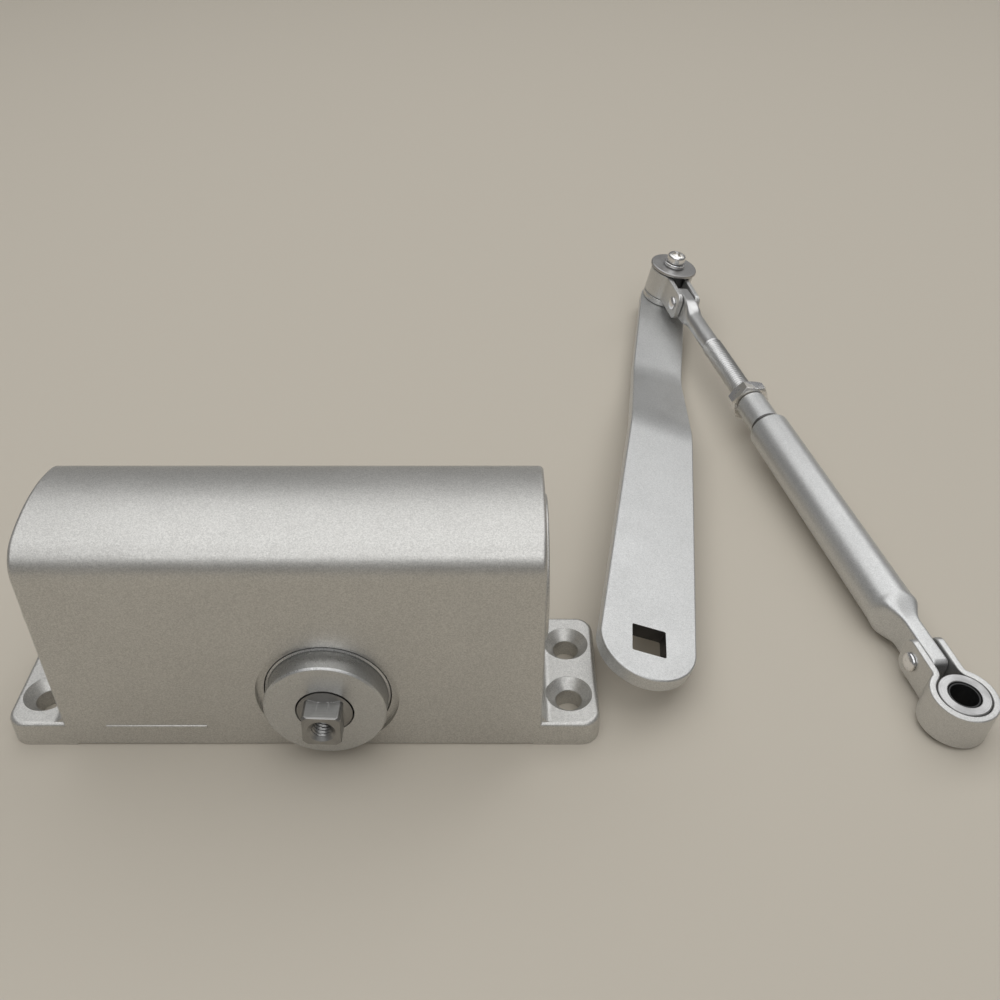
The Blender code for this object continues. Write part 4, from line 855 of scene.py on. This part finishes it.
ARM_FRAME = placed(WORLD, ARM_CENTRE, ARM_LEAN)
FOOT_FRAME = placed(ARM_FRAME, (0, ARM_LENGTH, -STEP_DEPTH), (0, ARM_TWIST, 0))
ELBOW_FRAME = placed(FOOT_FRAME, turn=(0, 0, radians(20.17) - pi / 2))
ROD_FRAME = placed(ELBOW_FRAME, (ELBOW_REACH, 0, STRAP_MIDDLE), (0, radians(-2.64), 0))
TUBE_FRAME = placed(ROD_FRAME, turn=(radians(6.24), 0, 0))
SHOE_FRAME = placed(TUBE_FRAME, (FOREARM, 0, 0), (0, radians(0.8), 0))
RING_FRAME = placed(SHOE_FRAME, (SHOE_REACH, 0, 0))


def arm_plan():
    """Points round the arm's plan, and for each its partner on the middle line."""
    taper = (ARM_HEAD - ARM_WAIST) / STEP_START
    narrow = STEP_END - 6 * MM
    head = arc((0, 0), ARM_HEAD, pi - taper, 2 * pi + taper, 72)
    tip = arc((0, ARM_LENGTH), ARM_TIP, 0, pi, 48)
    y = np.linspace(head[-1, 1], ARM_LENGTH, 150)[1:-1]
    head_edge = head[-1]
    stations = (head_edge[1], STEP_START, narrow, ARM_LENGTH)
    widths = (head_edge[0], ARM_WAIST, ARM_TIP, ARM_TIP)
    x = np.interp(y, stations, widths)
    soft = np.convolve(np.pad(x, 4, mode="edge"), np.ones(9) / 9, mode="valid")
    soft[:6], soft[-6:] = x[:6], x[-6:]
    right = np.column_stack((soft, y))
    left = right[::-1] * (-1, 1)
    outline = np.concatenate((head, right, tip, left))
    spine = np.column_stack((np.zeros(len(outline)), np.clip(outline[:, 1], 0, ARM_LENGTH)))
    spine[: len(head), 1] = 0.0
    first_tip = len(head) + len(right)
    spine[first_tip : first_tip + len(tip), 1] = ARM_LENGTH
    return outline, spine


def arm_drop(y):
    """The step along the arm: its slope fades in and out as a parabola at each bend."""
    bend = 7 * MM
    slope = STEP_DEPTH / (STEP_END - STEP_START)
    fall = np.zeros_like(y)
    for start, sign in ((STEP_START, 1), (STEP_END, -1)):
        t = np.clip((y - start + bend) / (2 * bend), 0.0, 1.0)
        fall += sign * slope * (bend * t * t + np.maximum(y - start - bend, 0.0))
    return -fall


def make_arm():
    """Plan carried from the middle line out over a rounded edge and back, then stepped and twisted."""
    outline, spine = arm_plan()
    edge = 0.6 * MM
    along = np.roll(outline, -1, axis=0) - np.roll(outline, 1, axis=0)
    along /= np.linalg.norm(along, axis=1)[:, None]
    inward = np.column_stack((-along[:, 1], along[:, 0]))
    turn = np.linspace(0, pi / 2, 6)
    insets = np.concatenate((edge * (1 - np.sin(turn)), edge * (1 - np.sin(turn[::-1]))))
    under = -ARM_THICKNESS + edge * (1 - np.cos(turn))
    over = -edge * (1 - np.cos(turn[::-1]))
    heights = np.concatenate((under, over))
    rows = [np.column_stack((spine, np.full(len(spine), -ARM_THICKNESS)))]
    for inset, height in zip(insets, heights):
        ring = outline + inward * inset
        rows.append(np.column_stack((ring, np.full(len(ring), height))))
    rows.append(np.column_stack((spine, np.zeros(len(spine)))))
    grid = np.array(rows)
    x, y, z = np.moveaxis(grid, -1, 0).copy()
    turn = ARM_TWIST * smooth_step((y - STEP_START) / (STEP_END - STEP_START))
    grid[..., 0] = x * np.cos(turn) + z * np.sin(turn)
    grid[..., 2] = z * np.cos(turn) - x * np.sin(turn) + arm_drop(y)
    arm = mesh_object("main_arm_pressing", shell(grid), ARM_FRAME)
    half = ARM_SQUARE / 2
    corners = [(half, half), (-half, half), (-half, -half), (half, -half)]
    square = prism(rounded(corners, [0.5 * MM] * 4), -6 * MM, MM)
    shank = STUD_SHANK + GAP
    round_hole = turned([(0, -8 * MM), (shank, -8 * MM), (shank, 8 * MM), (0, 8 * MM)], 64)
    cuts = [(square, placed(ARM_FRAME, turn=(0, 0, radians(3.5)))), (round_hole, FOOT_FRAME)]
    carve(arm, "DIFFERENCE", cuts)
    finish_piece(arm, "arm", "main_arm", ARM_PAINT, 40)
    # The square hole's walls take the near-black material as painted shade.
    paint_shade_on(arm, ARM_FRAME, HOLE_PAINTED_SHADE, in_painted_hole_shade)


def in_painted_hole_shade(at, facing):
    """The upright faces close round the arm's square hole, which take a near-black material as painted shade.
    """
    near = np.hypot(at[:, 0], at[:, 1]) < 0.75 * ARM_SQUARE
    return near & (np.abs(facing[:, 2]) < 0.3)


def paint_shade_on(obj, place, look, chosen):
    """Gives a second, dark material as painted shade to the faces that the test chooses by local centre and
    normal.
    """
    mesh = obj.data
    mesh.materials.append(look)
    centres = np.empty(3 * len(mesh.polygons))
    normals = np.empty(3 * len(mesh.polygons))
    mesh.polygons.foreach_get("center", centres)
    mesh.polygons.foreach_get("normal", normals)
    at = (centres.reshape(-1, 3) - place[:3, 3]) @ place[:3, :3]
    facing = normals.reshape(-1, 3) @ place[:3, :3]
    mesh.polygons.foreach_set("material_index", chosen(at, facing).astype(np.int32))


# ---------------------------------------------------------------- elbow and shoe


def strap_path(reach):
    """Middle line of a bent strap in (x, y): ear, neck, loop, neck, ear."""
    loop = SLEEVE_RADIUS + 0.2 * MM + STRAP_THICKNESS / 2
    neck = 3.0 * MM
    neck_x = np.sqrt((loop + neck) ** 2 - (EAR_CENTRE + neck) ** 2)
    turn = np.arctan2(EAR_CENTRE + neck, neck_x)
    end = reach + EAR_OVERHANG
    ear_x = np.concatenate((end - 3 * MM * (1 - np.cos(np.linspace(0, pi / 2, 9))), [reach, neck_x + MM]))
    ear = np.column_stack((ear_x, np.full(len(ear_x), EAR_CENTRE)))
    bend = arc((neck_x, EAR_CENTRE + neck), neck, -pi / 2, turn - pi, 8)
    around = arc((0, 0), loop, turn, 2 * pi - turn, 96)[1:-1]
    half = np.concatenate((ear, bend))
    return np.concatenate((half, around, half[::-1] * (1, -1)))


def strap_skin(reach):
    """A rounded rectangle carried along the strap's line, lower where an ear's end is round."""
    line = strap_path(reach)
    along = np.gradient(line, axis=0)
    along /= np.linalg.norm(along, axis=1)[:, None]
    across = np.column_stack((-along[:, 1], along[:, 0]))
    past = np.maximum(0.0, line[:, 0] - (reach + EAR_OVERHANG - 3 * MM))
    tall = STRAP_HEIGHT / 2 - (3 * MM - np.sqrt(np.maximum(0.0, (3 * MM) ** 2 - past**2)))
    edge = 0.4 * MM
    corner = np.repeat([[1, 1], [-1, 1], [-1, -1], [1, -1]], 5, axis=0)
    angle = np.concatenate([np.linspace(q * pi / 2, (q + 1) * pi / 2, 5) for q in range(4)])
    out = corner[:, 0] * (STRAP_THICKNESS / 2 - edge) + edge * np.cos(angle)
    up = corner[:, 1][None] * (tall[:, None] - edge) + edge * np.sin(angle)[None]
    x = line[:, :1] + across[:, :1] * out
    y = line[:, 1:] + across[:, 1:] * out
    return shell(np.stack((x, y, up), -1), capped=True)


def rivet_hole():
    radius = RIVET_RADIUS + 0.2 * MM
    return turned([(0, -9 * MM), (radius, -9 * MM), (radius, 9 * MM), (0, 9 * MM)], 40)


def make_strap(name, place, reach, body, node):
    strap = mesh_object(name, strap_skin(reach), place)
    across = placed(place, (reach, 0, 0), FRONT)
    carve(strap, "DIFFERENCE", [(rivet_hole(), across)])
    finish_piece(strap, body, node, STRAP_PAINT, 50)


def make_rivet(name, place, body, node):
    """A domed rivet: each head's section is a low ellipse over a short edge."""
    face = EAR_CENTRE + STRAP_THICKNESS / 2 + 0.1 * MM
    turn = np.linspace(0, pi / 2, 12)
    rise = face + RIVET_FLANGE + RIVET_HEAD_RISE * np.sin(turn)
    dome = np.column_stack((RIVET_HEAD_RADIUS * np.cos(turn), rise))
    half = np.vstack(([[RIVET_RADIUS, face], [2.7 * MM, face]], dome))
    half[-1, 0] = 0.0
    profile = np.vstack((half[::-1] * (1, -1), half))
    rivet = mesh_object(name, turned(profile, 56), placed(place, turn=FRONT))
    finish_piece(rivet, body, node, RIVET_ZINC)


def make_elbow_stack():
    """Collared stud, disc washer and split spring washer on the arm's foot."""
    corners = [(0, GAP - ARM_THICKNESS), (STUD_SHANK, GAP - ARM_THICKNESS), (STUD_SHANK, GAP / 2)]
    corners += [(COLLAR_RADIUS, GAP / 2), (COLLAR_RADIUS, COLLAR_TOP), (STUD_RADIUS, COLLAR_TOP)]
    corners += [(STUD_RADIUS, STUD_TOP), (2.3 * MM, STUD_TOP)]
    corners += [(2.3 * MM, MM), (0, MM)]
    stud = turned(rounded(corners, [0, 0.3 * MM, 0, 0.5 * MM, 0.5 * MM, 0, 0.3 * MM, 0, 0, 0]), 96)
    stud = mesh_object("stud_turned", stud, FOOT_FRAME)
    finish_piece(stud, "arm", "elbow_stud", COLLAR_STEEL)
    base = STUD_TOP + GAP
    top = base + 1.4 * MM
    corners = [(2.3 * MM, base), (10.1 * MM, base), (10.1 * MM, top), (2.3 * MM, top)]
    disc = turned(rounded(corners, [0, 0.4 * MM, 0.5 * MM, 0.3 * MM]), 128)
    disc = mesh_object("disc_washer", disc, FOOT_FRAME)
    finish_piece(disc, "arm", "elbow_washer", DISC_STEEL)
    angle = np.linspace(radians(8), radians(352), 72)
    low = top + 0.2 * MM
    corners = [(2.6 * MM, low), (4.7 * MM, low), (4.7 * MM, low + 1.4 * MM), (2.6 * MM, low + 1.4 * MM)]
    section = rounded(corners, [0.2 * MM] * 4, 3)
    grid = np.stack(
        (
            section[:, 0] * np.cos(angle)[:, None],
            section[:, 0] * np.sin(angle)[:, None],
            np.broadcast_to(section[:, 1], (72, len(section))),
        ),
        -1,
    )
    ring = mesh_object("split_washer", shell(grid, capped=True), placed(FOOT_FRAME, turn=(0, 0, radians(40))))
    finish_piece(ring, "arm", "elbow_spring_washer", ZINC)
    make_elbow_screw(low + 1.6 * MM)


def make_elbow_screw(base):
    """A pan head: a low dome less a cross-shaped recess, over a threaded shank."""
    angle = circle(144)
    flat = np.ones(144)
    turns = angle / (2 * pi)
    rows = [(0.0 * flat, 4.0 * MM * flat), (1.6 * MM * flat, 4.0 * MM * flat)]
    for z in np.linspace(4.1 * MM, base - 0.1 * MM, 90):
        rows.append((2.0 * MM - 0.3 * MM * (1 - screw_thread(z / (0.8 * MM) - turns)), z * flat))
    rows += [(2.0 * MM * flat, base * flat), (3.8 * MM * flat, base * flat)]
    rows.append((SCREW_HEAD_RADIUS * flat, (base + 0.2 * MM) * flat))
    turn = np.linspace(0, pi / 2, 12)
    for t in turn[:-1]:
        radius = 2.7 * MM + 1.3 * MM * np.cos(t)
        rows.append((radius * flat, (base + 2.2 * MM + 1.3 * MM * np.sin(t)) * flat))
    for radius in np.linspace(2.7 * MM, 0.0, 36):
        dome = base + 3.5 * MM + 0.5 * MM * (1 - (radius / (2.7 * MM)) ** 2)
        u = radius * np.abs(np.cos(angle - radians(20)))
        v = radius * np.abs(np.sin(angle - radians(20)))
        one_slot = np.maximum(u / (2.0 * MM), v / (0.5 * MM))
        other_slot = np.maximum(v / (2.0 * MM), u / (0.5 * MM))
        slot = np.minimum(one_slot, other_slot)
        sunk = 1.5 * MM * smooth_step((1.25 - slot) / 0.5)
        rows.append((radius * flat, dome - sunk))
    radii = np.array([r for r, _ in rows])
    heights = np.array([z for _, z in rows])
    grid = np.stack((radii * np.cos(angle), radii * np.sin(angle), heights), -1)
    screw = mesh_object("cross_head_screw", shell(grid), FOOT_FRAME)
    finish_piece(screw, "arm", "elbow_screw", ZINC, 40)


def make_elbow():
    low, high = STRAP_BASE, STUD_TOP - 0.1 * MM
    bore = STUD_RADIUS + 0.2 * MM
    corners = [(bore, low), (SLEEVE_RADIUS, low), (SLEEVE_RADIUS, high), (bore, high)]
    sleeve = turned(rounded(corners, [0.2 * MM, 0.3 * MM, 0.3 * MM, 0.2 * MM]), 112)
    sleeve = mesh_object("elbow_bush", sleeve, ELBOW_FRAME)
    finish_piece(sleeve, "elbow", "elbow_sleeve", STEEL)
    middle = placed(ELBOW_FRAME, (0, 0, STRAP_MIDDLE))
    make_strap("elbow_band", middle, ELBOW_REACH, "elbow", "elbow_strap")
    make_rivet("elbow_pin", placed(middle, (ELBOW_REACH, 0, 0)), "elbow", "elbow_rivet")


def make_shoe():
    turned_back = placed(SHOE_FRAME, (SHOE_REACH, 0, 0), (0, 0, pi))
    make_strap("shoe_band", turned_back, SHOE_REACH, "shoe", "shoe_strap")
    make_rivet("shoe_pin", SHOE_FRAME, "shoe", "shoe_rivet")
    half = STRAP_HEIGHT / 2
    inner = SLEEVE_BORE
    corners = [(inner, -half), (SLEEVE_RADIUS, -half), (SLEEVE_RADIUS, half), (inner, half)]
    sleeve = turned(rounded(corners, [0.2 * MM, 0.3 * MM, 0.4 * MM, 0.3 * MM]), 112)
    sleeve = mesh_object("shoe_bush", sleeve, RING_FRAME)
    finish_piece(sleeve, "shoe_ring", "shoe_sleeve", BUSH_STEEL)
    low, high = 0.4 * MM - half, half - 0.4 * MM
    corners = [(LINER_BORE, low), (LINER_OUTER, low), (LINER_OUTER, high), (LINER_BORE, high)]
    liner = turned(rounded(corners, [0.1 * MM] * 4, 3), 96)
    liner = mesh_object("bore_liner", liner, RING_FRAME)
    finish_piece(liner, "shoe_ring", "shoe_liner", LINER)


# ---------------------------------------------------------------- forearm


def tongue_rows(middle, sign, thickness, height, power, count=8):
    """Values of (x, half y, half z, power) round a tongue's squared end, its corners quarter circles."""
    turn = np.linspace(0, pi / 2, count)
    x = middle + sign * (TONGUE_END - TONGUE_CORNER + TONGUE_CORNER * np.cos(turn))
    tall = height / 2 - TONGUE_CORNER + TONGUE_CORNER * np.sin(turn)
    thin = thickness / 2 - 0.4 * MM * (1 - np.sin(turn)) ** 2
    rows = np.column_stack((x, thin, tall, np.full(count, power)))
    return rows if sign < 0 else rows[::-1]


def make_rod():
    """Eye, shank and thread: ovals along X, then a helical thread on the round part."""
    height = TONGUE_HEIGHT
    rows = [tongue_rows(0.0, -1, TONGUE_THICKNESS, height, 8.0)]
    share = smooth_step(np.linspace(0, 1, 18))
    x = np.linspace(5.0 * MM, 15.0 * MM, 18)
    half_y = TONGUE_THICKNESS / 2 + (ROD_RADIUS - TONGUE_THICKNESS / 2) * share
    half_z = height / 2 + (ROD_RADIUS - height / 2) * share
    rows.append(np.column_stack((x, half_y, half_z, 8 - 6 * share)))
    rows = np.vstack(rows)
    eye = oval_rows(*rows.T, columns=48)
    angle = circle(48) + pi / 48
    per_turn = 9
    count = int((ROD_LENGTH - THREAD_START) / THREAD_PITCH * per_turn)
    x = np.concatenate(([16 * MM, 26 * MM], np.linspace(THREAD_START - 0.6 * MM, ROD_LENGTH - MM, count)))
    grow = smooth_step((x - THREAD_START + 0.6 * MM) / (1.5 * MM))[:, None]
    share = screw_thread(x[:, None] / THREAD_PITCH - angle / (2 * pi))
    threaded = THREAD_RADIUS - 0.66 * MM * (1 - share)
    radius = ROD_RADIUS + (threaded - ROD_RADIUS) * grow
    x = np.broadcast_to(x[:, None], radius.shape)
    round_part = np.stack((x, radius * np.cos(angle), radius * np.sin(angle)), -1)
    end = oval_rows([ROD_LENGTH, ROD_LENGTH + 1e-6], [3.0 * MM, 0.0], [3.0 * MM, 0.0], [2, 2], 48)
    start = eye[:1] * (1, 0, 0)
    grid = np.concatenate((start, eye, round_part, end))
    rod = mesh_object("threaded_rod", shell(grid), ROD_FRAME)
    carve(rod, "DIFFERENCE", [(rivet_hole(), placed(ROD_FRAME, turn=FRONT))])
    finish_piece(rod, "rod", "adjusting_rod", ROD_STEEL, 50)


def make_nut():
    """A hexagon by angle, cut by a 30 degree cone at both ends, with a threaded bore."""
    angle = circle(192)
    flat = np.ones(192)
    hexagon = NUT_HALF / np.cos(((angle - NUT_TURN) % (pi / 3)) - pi / 6)
    rise = np.linspace(0, 0.9 * MM, 10)
    cone = NUT_HALF - 0.2 * MM + rise[:, None] / np.tan(radians(30))
    ends = np.minimum(hexagon, cone)
    thread_z = np.linspace(0.4 * MM, NUT_THICKNESS - 0.4 * MM, 60)
    share = screw_thread(thread_z[:, None] / THREAD_PITCH - angle / (2 * pi))
    bore = THREAD_RADIUS + 0.2 * MM - 0.25 * MM * share
    bore = np.maximum(bore, THREAD_RADIUS + 0.05 * MM)
    radii = np.vstack((ends, ends[::-1], 4.7 * MM * flat[None], bore[::-1], 4.7 * MM * flat[None]))
    heights = np.concatenate((rise, NUT_THICKNESS - rise[::-1], [NUT_THICKNESS], thread_z[::-1], [0.0]))
    height = np.broadcast_to(heights[:, None], radii.shape)
    grid = np.stack((radii * np.cos(angle), radii * np.sin(angle), height), -1)
    place = placed(ROD_FRAME, (NECK_START - GAP - NUT_THICKNESS, 0, 0), RIGHT)
    nut = mesh_object("hexagon_nut", shell(grid, wrap_rows=True), place)
    finish_piece(nut, "nut", "lock_nut", NUT_ZINC, 30)


def make_tube():
    """Bore, neck, groove, tube and pressed tongue as one skin of ovals along X."""
    neck_end = NECK_START + NECK_LENGTH
    shoulder = neck_end + GROOVE_WIDTH
    depth = ROD_LENGTH + 12 * MM
    corners = [(4.3 * MM, depth), (4.3 * MM, NECK_START), (NECK_RADIUS, NECK_START)]
    corners += [(NECK_RADIUS, neck_end - GROOVE_SHADE), (NECK_RADIUS, neck_end)]
    groove = NECK_RADIUS - GROOVE_DEPTH
    corners += [(groove, neck_end), (groove, shoulder), (TUBE_RADIUS, shoulder)]
    corners += [(TUBE_RADIUS, shoulder + 20 * MM)]
    radii = [0, 0.3 * MM, 0.5 * MM, 0, 0.3 * MM, 0, 0, 0.7 * MM, 0]
    profile = rounded(corners, radii, 5, closed=False)
    r, x = profile.T
    rows = [np.column_stack((x, r, r, np.full(len(x), 2.0)))]
    share = smooth_step(np.linspace(0, 1, 26))
    x = np.linspace(FOREARM - 21.5 * MM, FOREARM - 10.5 * MM, 26)
    half_y = TUBE_RADIUS + (TONGUE_THICKNESS / 2 - TUBE_RADIUS) * share
    half_z = TUBE_RADIUS + (TONGUE_HEIGHT / 2 - TUBE_RADIUS) * share
    rows.append(np.column_stack((x, half_y, half_z, 2 + 6 * share)))
    rows.append(tongue_rows(FOREARM, 1, TONGUE_THICKNESS, TONGUE_HEIGHT, 8.0))
    grid = oval_rows(*np.vstack(rows).T, columns=96)
    bottom = grid[:1] * (1, 0, 0) + (2 * MM, 0, 0)
    tip = grid[-1:] * (1, 0, 0)
    tube = mesh_object("forearm_skin", shell(np.concatenate((bottom, grid, tip))), TUBE_FRAME)
    hole = placed(TUBE_FRAME, (FOREARM, 0, 0), FRONT)
    carve(tube, "DIFFERENCE", [(rivet_hole(), hole)])
    finish_piece(tube, "tube", "forearm_tube", ARM_PAINT, 40)
    # The ring at the groove takes the dark material as painted shade.
    paint_shade_on(tube, TUBE_FRAME, GROOVE_PAINTED_SHADE, lambda at, facing: in_painted_groove_shade(at, neck_end, shoulder))


def in_painted_groove_shade(at, neck_end, shoulder):
    """The ring of faces between the last stretch of the neck and the tube's shoulder, which take a dark
    material as painted shade.
    """
    near = (at[:, 0] > neck_end - GROOVE_SHADE) & (at[:, 0] < shoulder - 0.05 * MM)
    return near & (np.hypot(at[:, 1], at[:, 2]) > 4.5 * MM)


# ---------------------------------------------------------------- finishes that only some pieces take

CAP_PAINT = paint("cap paint", (0.57, 0.57, 0.56), 0.34, flake=0.2, peel=0.4)
COLLAR_STEEL = turned_metal("collar steel", (0.62, 0.615, 0.60), 0.26)
DISC_STEEL = turned_metal("disc steel", (0.50, 0.49, 0.48), 0.34, rings=7000.0)
BUSH_STEEL = turned_metal("bush steel", (0.50, 0.495, 0.49), 0.30)
ROD_STEEL = turned_metal("rod steel", (0.66, 0.655, 0.645), 0.34, tint=0.15)
RIVET_ZINC = zinc_plate("rivet zinc")
NUT_ZINC = zinc_plate("nut zinc")

CARRIED = (
    (("closing_spring",), WIRE),
    (("spring_seat", "spindle_bearing_front", "spindle_bearing_rear", "piston"), INNER_STEEL),
    (("plug_seal_right", "plug_seal_left", "spindle_seal_front", "spindle_seal_rear"), RUBBER),
    (("sweep_valve_seal", "latch_valve_seal"), RUBBER),
    (("check_valve_ball",), ZINC),
    (("check_valve_plug",), BRASS),
)


def colour_carried():
    for nodes, look in CARRIED:
        for node in nodes:
            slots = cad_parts[node].material_slots
            for slot in slots:
                slot.material = look


# ---------------------------------------------------------------- studio


def softbox(name, place, aim, size, power, colour):
    light = bpy.data.lights.new(name, "AREA")
    light.shape = "RECTANGLE"
    light.size, light.size_y = size
    light.energy = power
    light.color = colour
    obj = bpy.data.objects.new(name, light)
    direction = Matrix.Translation(place).to_translation() - Matrix.Translation(aim).to_translation()
    obj.location = place
    obj.rotation_euler = direction.to_track_quat("Z", "Y").to_euler()
    bpy.context.scene.collection.objects.link(obj)


def make_studio():
    camera = bpy.data.cameras.new("camera")
    camera.lens = CAMERA_LENS
    camera.sensor_width = CAMERA_SENSOR
    camera.clip_start = 0.01
    stand = bpy.data.objects.new("camera", camera)
    stand.location = CAMERA_PLACE
    stand.rotation_euler = (CAMERA_PITCH, 0, 0)
    bpy.context.scene.collection.objects.link(stand)
    bpy.context.scene.camera = stand

    half = 6.0
    floor = bpy.data.meshes.new("floor")
    corners = [(-half, -half, 0), (half, -half, 0), (half, half, 0), (-half, half, 0)]
    floor.from_pydata(corners, [], [(0, 1, 2, 3)])
    ground = bpy.data.objects.new("floor", floor)
    ground.location.z = -0.0001
    bpy.context.scene.collection.objects.link(ground)
    look = bpy.data.materials.new("floor")
    look.use_nodes = True
    shader = look.node_tree.nodes["Principled BSDF"]
    shader.inputs["Base Color"].default_value = (0.58, 0.53, 0.45, 1)
    shader.inputs["Roughness"].default_value = 0.9
    shader.inputs["Specular IOR Level"].default_value = 0.2
    floor.materials.append(look)

    world = bpy.data.worlds.new("studio")
    bpy.context.scene.world = world
    world.use_nodes = True
    world.node_tree.nodes["Background"].inputs["Color"].default_value = (1.0, 0.99, 0.975, 1)
    world.node_tree.nodes["Background"].inputs["Strength"].default_value = 0.17
    softbox("overhead", (0.0, 0.38, 1.15), (0.0, 0.38, 0), (1.8, 1.95), 12.5, (0.98, 0.99, 1.0))
    softbox("front_high", (0.0, -0.95, 1.05), (0.0, 0, 0.05), (1.6, 0.6), 4.6, (0.98, 0.99, 1.0))
    softbox("back_right", (1.05, 1.15, 1.1), (0.09, 0.05, 0.015), (0.8, 0.6), 2.2, (0.98, 0.99, 1.0))
    bpy.context.scene.view_settings.view_transform = "Standard"


make_housing()
bar = mesh_object("front_bar", raised_bar(), WORLD)
bar.data.shade_smooth()
bar.data.set_sharp_from_angle(angle=radians(35))
bar.data.materials.append(BODY_PAINT)
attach(bar, "closer")
make_caps()
make_plugs()
make_valves()
make_pinion()
make_arm()
make_elbow_stack()
make_elbow()
make_rod()
make_nut()
make_tube()
make_shoe()
colour_carried()
make_studio()
